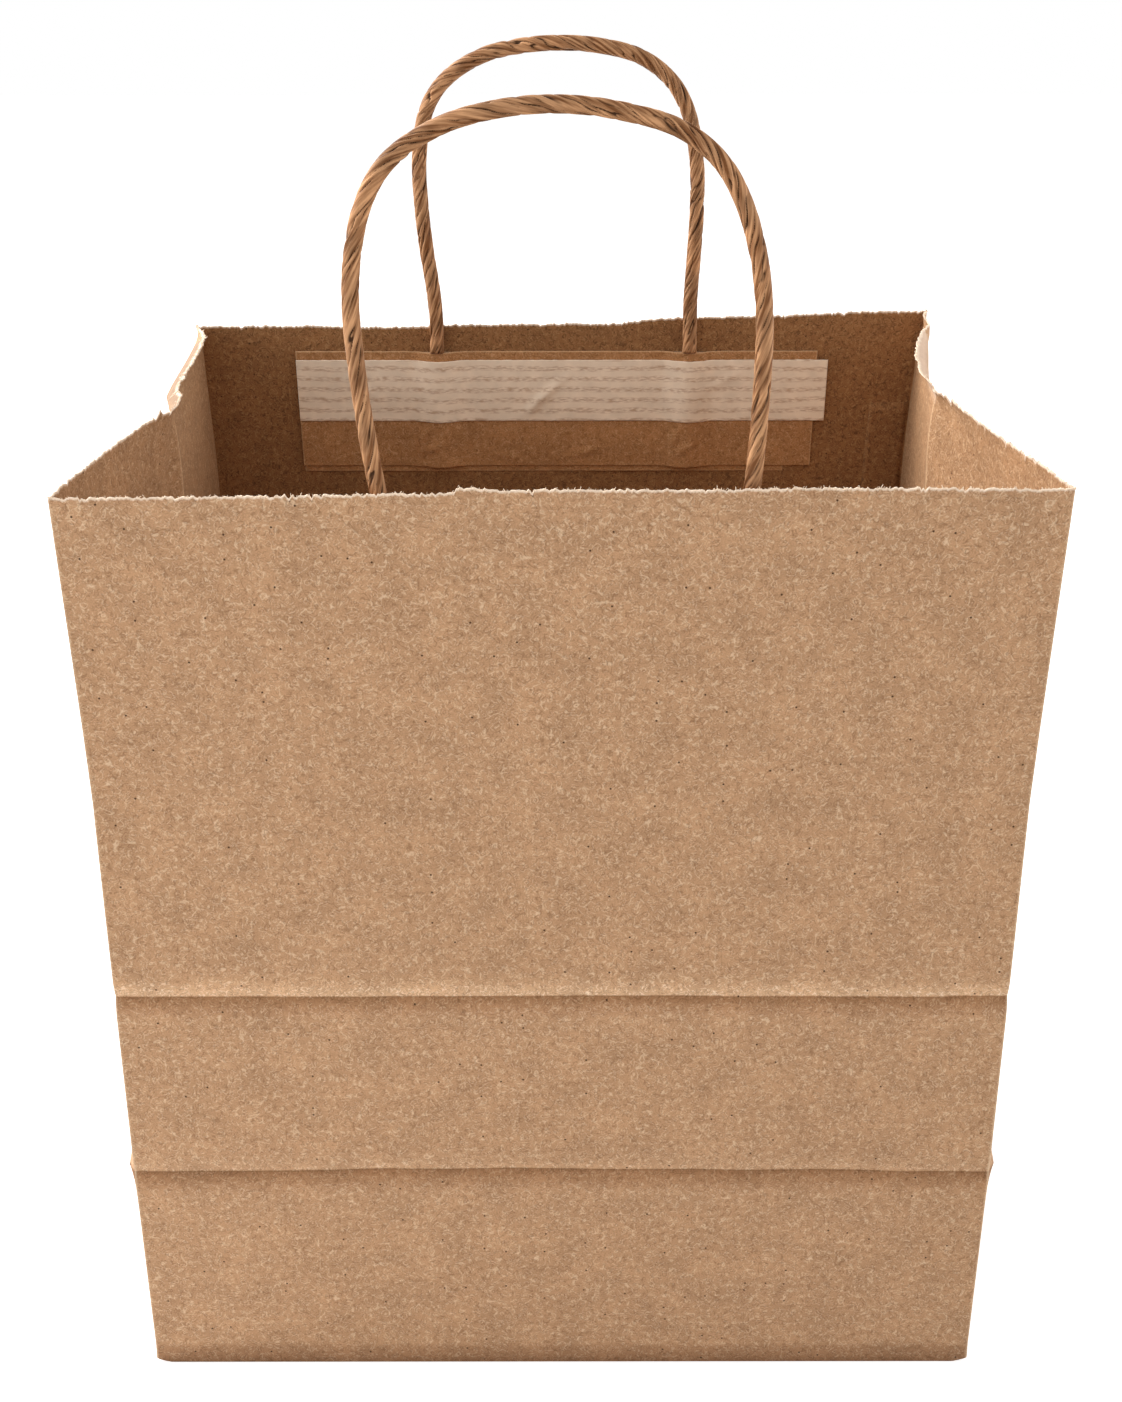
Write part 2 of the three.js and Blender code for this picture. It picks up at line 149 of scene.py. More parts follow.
# %% [markdown]
# ## Kraft paper
#
# Kraft paper is unbleached softwood pulp, pressed on a machine and left uncoated. Close up it is
# a mat of fibres 3 to 5 mm long and a few hundredths of a millimetre thick. Here they are drawn
# 0.2 mm thick or a little more, because finer ones would not show. Some lie lighter and some
# darker than the mat, and a few dark specks of bark are pressed in.
#
# A curly fibre is drawn as a short piece of a level line, like those on a map of hills. The
# hills are a smooth noise, and a second noise cuts their level lines into short pieces.
# Coordinates are turned to millimetres first, so that every scale is one over a size.

# %% How every paper starts
def new_paper(name, roughness, specular):
    """A material with its tree and shader, and a point's place on the piece in mm."""
    material = bpy.data.materials.new(name)
    material.use_nodes = True
    tree = material.node_tree
    shader = tree.nodes["Principled BSDF"]
    shader.inputs["Roughness"].default_value = roughness
    shader.inputs["Specular IOR Level"].default_value = specular
    place = add(tree, "ShaderNodeTexCoord").outputs["Object"]
    mm = add(tree, "ShaderNodeMapping", {"Vector": place, "Scale": (1000, 1000, 1000)}).outputs[0]
    return material, tree, shader, mm


def cover_where(tree, colour, mask, shade, amount=1.0):
    """Lays a shade over a colour where a mask is 1, as thickly as amount says."""
    part = add(tree, "ShaderNodeMath", {0: mask, 1: amount}, operation="MULTIPLY").outputs[0]
    mixed = add(tree, "ShaderNodeMix", {0: part, 6: colour, 7: paint(shade)}, data_type="RGBA")
    return mixed.outputs[2]


# %% Fibres and specks
levels, fibre_cut = 4, 2.3  # level lines on each hill, and mm from one cut in a fibre to the next
speck_cell, speck_share = 6.5, 0.13  # one speck in a few of the cells of a pattern, in mm


def fibre_lines(tree, flat, hill, wide, keep_from, shift):
    """A 0 to 1 mask of curly fibres, wide mm thick: level lines of hills about hill mm across."""
    place = add(tree, "ShaderNodeVectorMath", {0: flat, 1: shift}, operation="ADD").outputs[0]
    look = {"Vector": place, "Scale": 1 / hill, "Detail": 0.7}
    hills = add(tree, "ShaderNodeTexNoise", look, noise_dimensions="2D").outputs["Fac"]
    rise = add(tree, "ShaderNodeMath", {0: hills, 1: levels}, operation="MULTIPLY").outputs[0]
    off_level = add(tree, "ShaderNodeMath", {0: rise, 1: 0.5}, operation="PINGPONG").outputs[0]
    edge = wide * levels * 0.5 / hill
    line = add(tree, "ShaderNodeMapRange", {0: off_level, 1: 0.0, 2: edge, 3: 1.0, 4: 0.0}).outputs[0]
    look = {"Vector": place, "Scale": 1 / fibre_cut, "Detail": 0.0}
    cuts = add(tree, "ShaderNodeTexNoise", look, noise_dimensions="2D").outputs["Fac"]
    keep = add(tree, "ShaderNodeMapRange", {0: cuts, 1: keep_from, 2: keep_from + 0.08}).outputs[0]
    return add(tree, "ShaderNodeMath", {0: line, 1: keep}, operation="MULTIPLY").outputs[0]


def bark_specks(tree, flat):
    """A 0 to 1 mask of small dark specks."""
    look = {"Vector": flat, "Scale": 1 / speck_cell}
    cells = add(tree, "ShaderNodeTexVoronoi", look, voronoi_dimensions="2D").outputs
    reach = {0: cells["Distance"], 1: 0.035, 2: 0.062, 3: 1.0, 4: 0.0}
    spot = add(tree, "ShaderNodeMapRange", reach).outputs[0]
    chance = add(tree, "ShaderNodeSeparateColor", {0: cells["Color"]}).outputs[0]
    rare = {0: chance, 1: 1 - speck_share}
    chosen = add(tree, "ShaderNodeMath", rare, operation="GREATER_THAN").outputs[0]
    return add(tree, "ShaderNodeMath", {0: spot, 1: chosen}, operation="MULTIPLY").outputs[0]


# %% Painted light and shade at the pressed folds, and worn edges with painted light
def painted_fold_light(tree, mm, at, bow, profile, reach=9):
    """Painted highlight and painted shade near a pressed fold at height at, bow mm lower at the bag's
    corners. profile gives the tint from reach mm below the fold to reach above it: a painted
    highlight above the fold and painted shade below it. A ramp holds no colour above 1, so tints go in
    halved, come out doubled."""
    parts = add(tree, "ShaderNodeSeparateXYZ", {0: mm}).outputs
    across = add(tree, "ShaderNodeMath", {0: parts["X"], 1: half_width}, operation="DIVIDE").outputs[0]
    square = add(tree, "ShaderNodeMath", {0: across, 1: across}, operation="MULTIPLY").outputs[0]
    bowed = {0: square, 1: bow, 2: parts["Z"]}
    level = add(tree, "ShaderNodeMath", bowed, operation="MULTIPLY_ADD").outputs[0]
    waver = add(tree, "ShaderNodeTexNoise", {"Vector": mm, "Scale": 1 / 30, "Detail": 2.0}).outputs["Fac"]
    shift = add(tree, "ShaderNodeMapRange", {0: waver, 3: -at - 0.6, 4: -at + 0.6}).outputs[0]
    above = add(tree, "ShaderNodeMath", {0: level, 1: shift}, operation="ADD").outputs[0]
    place = add(tree, "ShaderNodeMapRange", {0: above, 1: -reach, 2: reach}).outputs[0]
    ramp = add(tree, "ShaderNodeValToRGB", {0: place})
    stops = ramp.color_ramp.elements
    stops[0].color = stops[1].color = (0.5, 0.5, 0.5, 1)
    for height, tint in profile:
        stop = stops.new((height + reach) / (2 * reach))
        stop.color = (*[part / 2 for part in tint], 1)
    doubled = {0: ramp.outputs[0], "Scale": 2.0}
    return add(tree, "ShaderNodeVectorMath", doubled, operation="SCALE").outputs[0]


def wear_and_light(tree, colour, grain, name, start, full, amount, shade):
    """Lays a shade over the paper where the attribute of that name grows from start to full,
    with an edge that the grain frays."""
    near = add(tree, "ShaderNodeAttribute", attribute_name=name).outputs["Fac"]
    ragged = add(tree, "ShaderNodeMath", {0: grain, 1: 0.5, 2: near}, operation="MULTIPLY_ADD").outputs[0]
    reach = {0: ragged, 1: start + 0.25, 2: full + 0.25}
    worn_and_lit = add(tree, "ShaderNodeMapRange", reach).outputs[0]
    return cover_where(tree, colour, worn_and_lit, shade, amount)


# %% Kraft paper material
def kraft_paper(
    name, ground, light, dark, strength=1.0, specks=1.0, painted_fold_shading=(), lying=False, cut="#f6e0c8"
):
    """Uncoated kraft paper, which gives the eye a matt, warm brown mat of fibres without a shine.
    strength is how plainly the fibres show. The pattern lies on the sheet as it was before it
    was folded, or, for a sheet that is lying, over the floor."""
    material, tree, shader, mm = new_paper(name, roughness=0.82, specular=0.3)
    unfolded = add(tree, "ShaderNodeAttribute", attribute_name="unfolded").outputs["Vector"]
    flat = mm if lying else unfolded
    look = {"Vector": flat, "Scale": 1 / 12, "Detail": 4.0}
    cloud = add(tree, "ShaderNodeTexNoise", look, noise_dimensions="2D").outputs["Fac"]
    look = {"Vector": flat, "Scale": 1 / 0.5, "Detail": 2.0}
    grain = add(tree, "ShaderNodeTexNoise", look, noise_dimensions="2D").outputs["Fac"]
    mix = add(tree, "ShaderNodeMix", {0: 0.55, 2: cloud, 3: grain}).outputs[0]
    tone = add(tree, "ShaderNodeMapRange", {0: mix, 1: 0.3, 2: 0.7, 3: 0.8, 4: 1.2}).outputs[0]
    toned = {0: paint(ground)[:3], "Scale": tone}
    colour = add(tree, "ShaderNodeVectorMath", toned, operation="SCALE").outputs[0]

    # Each kind of fibre: hill and width in mm, where its lines are kept, its shift and its shade
    fibres = {
        "pale": (2.7, 0.25, 0.47, (0, 0, 0), light, 0.56),
        "fine pale": (1.8, 0.19, 0.49, (37, 11, 5), light, 0.42),
        "deep": (2.5, 0.25, 0.47, (71, 43, 29), dark, 0.5),
        "fine deep": (1.6, 0.19, 0.49, (13, 87, 61), dark, 0.4),
    }
    masks = {}
    for kind, (hill, wide, keep_from, shift, shade, amount) in fibres.items():
        masks[kind] = fibre_lines(tree, flat, hill, wide, keep_from, shift)
        colour = cover_where(tree, colour, masks[kind], shade, amount * strength)
    colour = cover_where(tree, colour, bark_specks(tree, flat), "#4e3018", specks)
    # Painted highlight above each fold, painted shade below it, and painted shade at the base's edge
    for at, bow, profile in painted_fold_shading:
        tint = painted_fold_light(tree, mm, at, bow, profile)
        colour = add(tree, "ShaderNodeVectorMath", {0: colour, 1: tint}, operation="MULTIPLY").outputs[0]

    # Where the sheet is bent or cut its fibres are rubbed pale, and part of that paleness is a painted
    # highlight on the folds and cut edges. The lips get painted light: painted shade on the left lip,
    # which stands in strong light, and a painted highlight on the right one. Each: start, full, amount and
    # shade
    worn_and_lit_parts = {
        "fold_near": (0.2, 0.9, 0.5, light),
        "left_lip": (0.1, 0.9, 0.8, "#9c8069"),
        "right_lip": (0.1, 0.9, 0.7, "#e6c9b1"),
        "cut_near": (0.2, 0.8, 0.9, cut),
    }
    for part, how in worn_and_lit_parts.items():
        colour = wear_and_light(tree, colour, grain, part, *how)
    tree.links.new(colour, shader.inputs["Base Color"])

    standing = {0: masks["pale"], 1: masks["deep"]}
    relief = add(tree, "ShaderNodeMath", standing, operation="SUBTRACT").outputs[0]
    height = add(tree, "ShaderNodeMath", {0: relief, 1: grain}, operation="ADD").outputs[0]
    bump = add(tree, "ShaderNodeBump", {"Height": height, "Strength": 0.35, "Distance": 0.0001})
    tree.links.new(bump.outputs[0], shader.inputs["Normal"])
    return material


# %% The bag's papers
# Painted highlight above each fold and painted shade below it, by height: strong beside it, and gone a few
# mm away
highlight_above_upper = [
    (9, (1, 1, 1)), (6, (1.09, 1.11, 1.12)), (4.2, (1.22, 1.27, 1.33)),
    (2.5, (1.32, 1.43, 1.54)), (0.5, (1.36, 1.5, 1.66)), (0.15, (1.1, 1.1, 1.1)),
]
shade_below_upper = [
    (-0.1, (0.56, 0.48, 0.4)), (-0.5, (0.68, 0.59, 0.5)), (-1.6, (0.74, 0.66, 0.58)),
    (-3, (0.84, 0.78, 0.72)), (-5, (0.93, 0.9, 0.88)), (-7, (1, 1, 1)),
]
highlight_above_lower = [(7, (1, 1, 1)), (3, (1.05, 1.07, 1.09)), (0.6, (1.12, 1.16, 1.22)), (0.15, (1, 1, 1))]
shade_below_lower = [
    (-0.1, (0.5, 0.42, 0.34)), (-0.6, (0.62, 0.53, 0.45)), (-2, (0.72, 0.64, 0.56)),
    (-4, (0.8, 0.74, 0.68)), (-6.5, (0.93, 0.91, 0.89)), (-8.5, (1, 1, 1)),
]
# Painted shade: the paper darkens over the last 9 mm above the base's edge, where the bag meets the floor
shade_at_base = [
    (8.9, (1, 1, 1)), (7, (0.82, 0.78, 0.75)), (4, (0.71, 0.65, 0.6)), (2, (0.61, 0.54, 0.48)),
    (0.9, (0.5, 0.42, 0.35)), (0.25, (0.4, 0.32, 0.25)),
]
painted_fold_shading = (
    (*fold_line["upper"], highlight_above_upper + shade_below_upper),
    (*fold_line["lower"], highlight_above_lower + shade_below_lower),
    (0, 0, shade_at_base),
)

# The outside is machine-finished: even and warm. The inside is the same paper, less smooth.
kraft_outside = kraft_paper("kraft_outside", "#b98f6a", "#e9cba9", "#7c5433", painted_fold_shading=painted_fold_shading)
kraft_inside = kraft_paper("kraft_gusset_inside", "#b08660", "#e2bf98", "#754d2e")
kraft_base = kraft_paper("kraft_base", "#b98f6a", "#e9cba9", "#7c5433", lying=True)
# Inside the rear wall (and the front one) the paper is darker: a painted shade. Its fibres stand out more.
kraft_wall_shaded = kraft_paper("kraft_wall_inside_shaded", "#956840", "#b88a5c", "#4e2f16", strength=1.35)
# A torn edge shows the pale heart of the fibres, and its pale colour is partly a painted highlight where
# the edge catches the light.
kraft_edge = kraft_paper("kraft_cut_edge", "#f3d9bb", "#fff0dc", "#cfa982")
# The patches are a smoother, redder kraft without specks, and their cut edges get a painted highlight.
kraft_patch = kraft_paper(
    "kraft_patch", "#b27f52", "#d8aa7c", "#7c5028", strength=1.1, specks=0.0, cut="#dcb48a"
)
print("kraft papers:", [m.name for m in bpy.data.materials if m.name.startswith("kraft")])

# %% [markdown]
# ## Twisted paper cord
#
# The handles are strips of kraft paper, twisted tight until they are round and hard. The twist
# leaves pleats that climb round the cord to the right, and each pleat laps a little over the
# next. The colour follows the pleats, so the cord carries its own straight coordinates: where
# a point would lie if the twist were taken out and the cord laid straight.

# %% Cord paper material
def cord_paper(name):
    """Twisted kraft paper, which gives the eye a warm brown with soft light on each pleat and a
    dark line of painted shade in each groove."""
    material, tree, shader, mm = new_paper(name, roughness=0.6, specular=0.15)
    shader.inputs["Sheen Weight"].default_value = 0.6
    shader.inputs["Sheen Roughness"].default_value = 0.2
    shader.inputs["Sheen Tint"].default_value = paint("#ffdfc4")
    straight = add(tree, "ShaderNodeAttribute", attribute_name="straightened").outputs["Vector"]
    groove = add(tree, "ShaderNodeAttribute", attribute_name="groove").outputs["Fac"]
    # A streak is 1 mm wide and 11 mm long, in metres here because the attribute is in metres.
    along = add(tree, "ShaderNodeMapping", {"Vector": straight, "Scale": (1000, 1000, 90)}).outputs[0]
    streak = add(tree, "ShaderNodeTexNoise", {"Vector": along, "Scale": 1.0, "Detail": 3.0}).outputs["Fac"]
    patch = add(tree, "ShaderNodeTexNoise", {"Vector": mm, "Scale": 1 / 9, "Detail": 2.0}).outputs["Fac"]
    ramp = add(tree, "ShaderNodeValToRGB", {0: streak})
    for stop, place, shade in zip(ramp.color_ramp.elements, (0.36, 0.64), ("#714625", "#c6946a")):
        stop.position = place
        stop.color = paint(shade)
    uneven = add(tree, "ShaderNodeMapRange", {0: patch, 1: 0.3, 2: 0.7, 3: 0.78, 4: 1.22}).outputs[0]
    toned = {0: ramp.outputs[0], "Scale": uneven}
    colour = add(tree, "ShaderNodeVectorMath", toned, operation="SCALE").outputs[0]
    # Painted shade: the colour is darkened in each groove
    sunk = add(tree, "ShaderNodeMapRange", {0: groove, 1: 0.2, 2: 0.65}).outputs[0]
    colour = cover_where(tree, colour, sunk, "#3c2109", 0.95)
    tree.links.new(colour, shader.inputs["Base Color"])
    bump = add(tree, "ShaderNodeBump", {"Height": streak, "Strength": 0.4, "Distance": 0.0001})
    tree.links.new(bump.outputs[0], shader.inputs["Normal"])
    return material


cord_kraft = cord_paper("twisted_kraft_cord")
print("cord paper:", cord_kraft.name)

# %% [markdown]
# ## The way that each cord takes
#
# A cord is stiff enough to stand up in a loop. It starts between the patch's two strips, comes
# up out of the patch, goes over its crest and back down into the patch. The points are those
# that the solid cord was swept along: x, and the height above the front rim. Each loop nods
# into the bag a little towards its crest.

# %% Cord routes
patch_top, patch_high = 298.8, 48.2
seat, patch_paper = 0.3, 0.3
cord_diameter = {"front": 4.6, "rear": 5.2}
rope_gap = {"front": 96.8, "rear": 93.3}
rope_middle = {"front": 1.1, "rear": 0.9}
glued_flat, press_widen, press_clear, press_run = 2.2, 1.15, -1, 2
cord_route = {
    "front": [
        (-48.3, -1), (-50.4, 14), (-52.5, 34), (-53.3, 50), (-52.2, 63), (-48.8, 75.6),
        (-42.5, 85.2), (-29.5, 93.4), (-14.7, 97.4), (0, 98.4), (14.7, 96.8), (29.6, 92.5),
        (39.4, 85.1), (45.4, 75.4), (49.7, 62), (51.7, 48), (52, 32), (51.4, 14), (50.4, -1),
    ],
    "rear": [
        (-45.6, 4.5), (-46.4, 16), (-48.3, 31), (-49.6, 48), (-49.6, 63), (-46.4, 79.6),
        (-39.6, 89.6), (-27.3, 97.4), (-13.6, 100.8), (0, 101.8), (13.7, 100.8), (27.4, 97.2),
        (37.9, 89.5), (44, 79.4), (47.7, 63), (48.5, 45), (48, 28), (47.3, 12), (47.4, 3),
    ],
}


def patch_axes(side):
    """The middle of a patch's top edge, and its directions across, away from and up the wall."""
    foot = patch_top - patch_high
    rise = float(inner_wall(side, patch_top) - inner_wall(side, foot))
    up = Vector((0, rise, patch_high)).normalized()
    across = Vector((-side, 0, 0))
    return Vector((0, float(inner_wall(side, patch_top)), patch_top)), across, up.cross(across), up


def on_patch(side, x, away, drop):
    """A point on a patch: x in the bag, away from the wall, and drop below its top edge."""
    origin, across, out, up = patch_axes(side)
    return origin + Vector((x, 0, 0)) + out * away - up * drop


def cord_points(hand):
    side = -1 if hand == "front" else 1
    away = seat + patch_paper + seat + cord_diameter[hand] / 2
    x = [rope_middle[hand] + end * rope_gap[hand] / 2 for end in (-1, 1)]
    glued = [42, 21, 5.25, 0]
    crest = max(above for _, above in cord_route[hand])
    rim_y = on_patch(side, 0, away, patch_top - bag_height).y
    free = []
    for place, above in cord_route[hand]:
        nod = 6 * max(0, above / crest) ** 2
        free.append(Vector((place, rim_y - side * nod, bag_height + above)))
    start = [on_patch(side, x[0], away, drop) for drop in glued]
    stop = [on_patch(side, x[1], away, drop) for drop in reversed(glued)]
    return start + free + stop


def smooth_path(points, steps=16):
    """A smooth line through points, with its knots spaced by the root of their distances."""
    ends = [points[0] * 2 - points[1], *points, points[-1] * 2 - points[-2]]
    line = []
    for a, b, c, d in zip(ends, ends[1:], ends[2:], ends[3:]):
        t0, t1 = 0, (b - a).length ** 0.5
        t2 = t1 + (c - b).length ** 0.5
        t3 = t2 + (d - c).length ** 0.5
        for i in range(steps):
            t = t1 + (t2 - t1) * i / steps
            ab = a.lerp(b, (t - t0) / (t1 - t0))
            bc = b.lerp(c, (t - t1) / (t2 - t1))
            cd = c.lerp(d, (t - t2) / (t3 - t2))
            abc = ab.lerp(bc, (t - t0) / (t2 - t0))
            bcd = bc.lerp(cd, (t - t1) / (t3 - t1))
            line.append(abc.lerp(bcd, (t - t1) / (t2 - t1)))
    return line + [points[-1]]


cord_lines = {hand: smooth_path(cord_points(hand)) for hand in cord_route}

# %% [markdown]
# ## Twisting the cords with Geometry Nodes
#
# A line that is turned into a tube keeps the attributes of both: how far along the line a point
# is, and how far round the section. From these two the tree works out which pleat a point is
# on and sinks the surface where one pleat laps over the next. A noise makes the pleats uneven,
# as fingers and a twisting machine leave them.

# %% How every Geometry Nodes tree starts and ends
def new_tree(name, sizes, counts):
    """A tree with an input for its geometry, for each size and count, and for its material."""
    tree = bpy.data.node_groups.new(name, "GeometryNodeTree")
    face = tree.interface
    face.new_socket("Geometry", in_out="INPUT", socket_type="NodeSocketGeometry")
    for kind, values in (("NodeSocketFloat", sizes), ("NodeSocketInt", counts)):
        for label, value in values.items():
            face.new_socket(label, in_out="INPUT", socket_type=kind).default_value = value
    face.new_socket("Paper", in_out="INPUT", socket_type="NodeSocketMaterial")
    face.new_socket("Geometry", in_out="OUTPUT", socket_type="NodeSocketGeometry")
    return tree, add(tree, "NodeGroupInput").outputs


def end_tree(tree, made, paper):
    """Turns copies into real geometry, and gives it its paper."""
    real = add(tree, "GeometryNodeRealizeInstances", {"Geometry": made}).outputs[0]
    done = add(tree, "GeometryNodeSetMaterial", {"Geometry": real, "Material": paper}).outputs[0]
    add(tree, "NodeGroupOutput", {"Geometry": done})


# %% A tube that knows where its points lie
def marked_tube(tree, given):
    """The line and the ring each keep where a point lies on them, and then make the tube."""
    place = add(tree, "GeometryNodeSplineParameter").outputs
    spot = add(tree, "GeometryNodeInputPosition").outputs[0]
    line = add(tree, "GeometryNodeMeshToCurve", {0: given["Geometry"]}).outputs[0]
    finer = {"Curve": line, "Length": given["Step"]}
    line = add(tree, "GeometryNodeResampleCurve", finer, mode="LENGTH").outputs[0]
    kept = {"Geometry": line, "Name": "centre", "Value": spot}
    line = add(tree, "GeometryNodeStoreNamedAttribute", kept, data_type="FLOAT_VECTOR").outputs[0]
    kept = {"Geometry": line, "Name": "along", "Value": place["Length"]}
    line = add(tree, "GeometryNodeStoreNamedAttribute", kept).outputs[0]
    round_one = {"Resolution": given["Sides"], "Radius": given["Radius"]}
    ring = add(tree, "GeometryNodeCurvePrimitiveCircle", round_one).outputs[0]
    kept = {"Geometry": ring, "Name": "round", "Value": place["Factor"]}
    ring = add(tree, "GeometryNodeStoreNamedAttribute", kept).outputs[0]
    swept = {"Curve": line, "Profile Curve": ring, "Fill Caps": True}
    return add(tree, "GeometryNodeCurveToMesh", swept).outputs[0]


def straighten(tree, given):
    """How far round a point would lie if the twist were taken out, and its place on the cord
    that is laid straight."""
    along = add(tree, "GeometryNodeInputNamedAttribute", {"Name": "along"}).outputs[0]
    turned = add(tree, "GeometryNodeInputNamedAttribute", {"Name": "round"}).outputs[0]
    turns = add(tree, "ShaderNodeMath", {0: along, 1: given["Turn length"]}, operation="DIVIDE").outputs[0]
    untwisted = add(tree, "ShaderNodeMath", {0: turned, 1: turns}, operation="SUBTRACT").outputs[0]
    angle = add(tree, "ShaderNodeMath", {0: untwisted, 1: 2 * math.pi}, operation="MULTIPLY").outputs[0]
    cosine = add(tree, "ShaderNodeMath", {0: angle}, operation="COSINE").outputs[0]
    sine = add(tree, "ShaderNodeMath", {0: angle}, operation="SINE").outputs[0]
    circle = add(tree, "ShaderNodeCombineXYZ", {0: cosine, 1: sine}).outputs[0]
    lengthwise = add(tree, "ShaderNodeCombineXYZ", {2: along}).outputs[0]
    laid = {0: circle, 1: given["Radius"], 2: lengthwise}
    return untwisted, add(tree, "ShaderNodeVectorMath", laid, operation="MULTIPLY_ADD").outputs[0]


# %% Pleats
pleat_shape = [(0.06, 0.35), (0.14, 0.93), (0.3, 1.0), (0.7, 0.92), (0.92, 0.62)]


def pleat_grooves(tree, given, untwisted, straight):
    """Each pleat rises quickly out of its groove and falls slowly to the next one. Two noises
    make the pleats wander and some grooves deeper than others."""
    seeded = add(tree, "ShaderNodeMath", {0: given["Seed"], 1: 0.7}, operation="MULTIPLY").outputs[0]
    apart = add(tree, "ShaderNodeCombineXYZ", {2: seeded}).outputs[0]
    where = add(tree, "ShaderNodeVectorMath", {0: straight, 1: apart}, operation="ADD").outputs[0]
    stretched = {0: where, 1: (300, 300, 85)}
    place = add(tree, "ShaderNodeVectorMath", stretched, operation="MULTIPLY").outputs[0]
    wander = add(tree, "ShaderNodeTexNoise", {"Vector": place, "Scale": 1.0, "Detail": 1.0}).outputs["Fac"]
    shift = add(tree, "ShaderNodeMath", {0: wander, 1: 3.2}, operation="MULTIPLY").outputs[0]
    counted = {0: untwisted, 1: given["Pleats"], 2: shift}
    phase = add(tree, "ShaderNodeMath", counted, operation="MULTIPLY_ADD").outputs[0]
    within = add(tree, "ShaderNodeMath", {0: phase}, operation="FRACT").outputs[0]
    pleat = add(tree, "ShaderNodeFloatCurve", {"Value": within})
    curve = pleat.mapping.curves[0]
    curve.points[0].location, curve.points[1].location = (0, 0), (1, 0)
    for point in pleat_shape:
        curve.points.new(*point)
    pleat.mapping.update()
    sunk = add(tree, "ShaderNodeMath", {0: 1.0, 1: pleat.outputs[0]}, operation="SUBTRACT").outputs[0]
    longer = {0: where, 1: (420, 420, 60)}
    place = add(tree, "ShaderNodeVectorMath", longer, operation="MULTIPLY").outputs[0]
    uneven = add(tree, "ShaderNodeTexNoise", {"Vector": place, "Scale": 1.0}).outputs["Fac"]
    strong = add(tree, "ShaderNodeMapRange", {0: uneven, 1: 0.36, 2: 0.56, 3: 0.3, 4: 1.2}).outputs[0]
    return add(tree, "ShaderNodeMath", {0: sunk, 1: strong}, operation="MULTIPLY").outputs[0]


# %% Geometry Nodes tree of a twisted cord
def twist_tree():
    """The tube of a cord, with its surface sunk in the grooves. The paper reads the groove and
    the straight coordinates."""
    sizes = {"Radius": 0.0025, "Turn length": 0.034, "Depth": 0.36, "Step": 0.0005}
    tree, given = new_tree("twist_paper_cord", sizes, {"Pleats": 6, "Sides": 60, "Seed": 1})
    tube = marked_tube(tree, given)
    untwisted, straight = straighten(tree, given)
    groove = pleat_grooves(tree, given, untwisted, straight)
    kept = {"Geometry": tube, "Name": "groove", "Value": groove}
    tube = add(tree, "GeometryNodeStoreNamedAttribute", kept).outputs[0]
    kept = {"Geometry": tube, "Name": "straightened", "Value": straight}
    tube = add(tree, "GeometryNodeStoreNamedAttribute", kept, data_type="FLOAT_VECTOR").outputs[0]

    read = {"Name": "centre"}
    centre = add(tree, "GeometryNodeInputNamedAttribute", read, data_type="FLOAT_VECTOR").outputs[0]
    sunk = add(tree, "GeometryNodeInputNamedAttribute", {"Name": "groove"}).outputs[0]
    spot = add(tree, "GeometryNodeInputPosition").outputs[0]
    inward = add(tree, "ShaderNodeVectorMath", {0: centre, 1: spot}, operation="SUBTRACT").outputs[0]
    deep = add(tree, "ShaderNodeMath", {0: sunk, 1: given["Depth"]}, operation="MULTIPLY").outputs[0]
    sink = add(tree, "ShaderNodeVectorMath", {0: inward, "Scale": deep}, operation="SCALE").outputs[0]
    tube = add(tree, "GeometryNodeSetPosition", {"Geometry": tube, "Offset": sink}).outputs[0]
    for name in ("centre", "round", "along"):
        spent = {"Geometry": tube, "Name": name}
        tube = add(tree, "GeometryNodeRemoveAttribute", spent).outputs[0]
    tube = add(tree, "GeometryNodeSetShadeSmooth", {"Geometry": tube}).outputs[0]
    end_tree(tree, tube, given["Paper"])
    return tree


# %% Growing a piece along a line
def grow(name, mesh, tree, values):
    """Runs a Geometry Nodes tree on a mesh once and keeps the result as a plain mesh object."""
    source = bpy.data.objects.new(name + "_source", mesh)
    bpy.context.scene.collection.objects.link(source)
    nodes = source.modifiers.new("grow", "NODES")
    nodes.node_group = tree
    identifiers = {
        item.name: item.identifier
        for item in tree.interface.items_tree
        if item.item_type == "SOCKET" and item.in_out == "INPUT"
    }
    for label, value in values.items():
        nodes[identifiers[label]] = value
    grown = source.evaluated_get(bpy.context.evaluated_depsgraph_get())
    made = bpy.data.objects.new(name, bpy.data.meshes.new_from_object(grown))
    made.data.name = name
    bpy.data.objects.remove(source)
    bpy.context.scene.collection.objects.link(made)
    return made


def line_mesh(name, points):
    mesh = bpy.data.meshes.new(name)
    mesh.from_pydata(points, [(i, i + 1) for i in range(len(points) - 1)], [])
    return mesh


def press_ends(handle, hand):
    """Presses what lies between the strips flat, as the roller that glued them did."""
    side = -1 if hand == "front" else 1
    origin, _, out, up = patch_axes(side)
    level = seat + patch_paper + seat
    for vertex in handle.data.vertices:
        spot = vertex.co / MM - origin
        above = spot.dot(up)
        part = min(max((above - press_clear) / -press_run + 1, 0), 1)
        pressed = part * part * (3 - 2 * part)
        middle = rope_middle[hand] + math.copysign(rope_gap[hand] / 2, spot.x)
        away = spot.dot(out)
        flat = (away - level) * pressed * (glued_flat / cord_diameter[hand] - 1)
        wide = (spot.x - middle) * pressed * (press_widen - 1)
        vertex.co += (out * flat + Vector((wide, 0, 0))) * MM


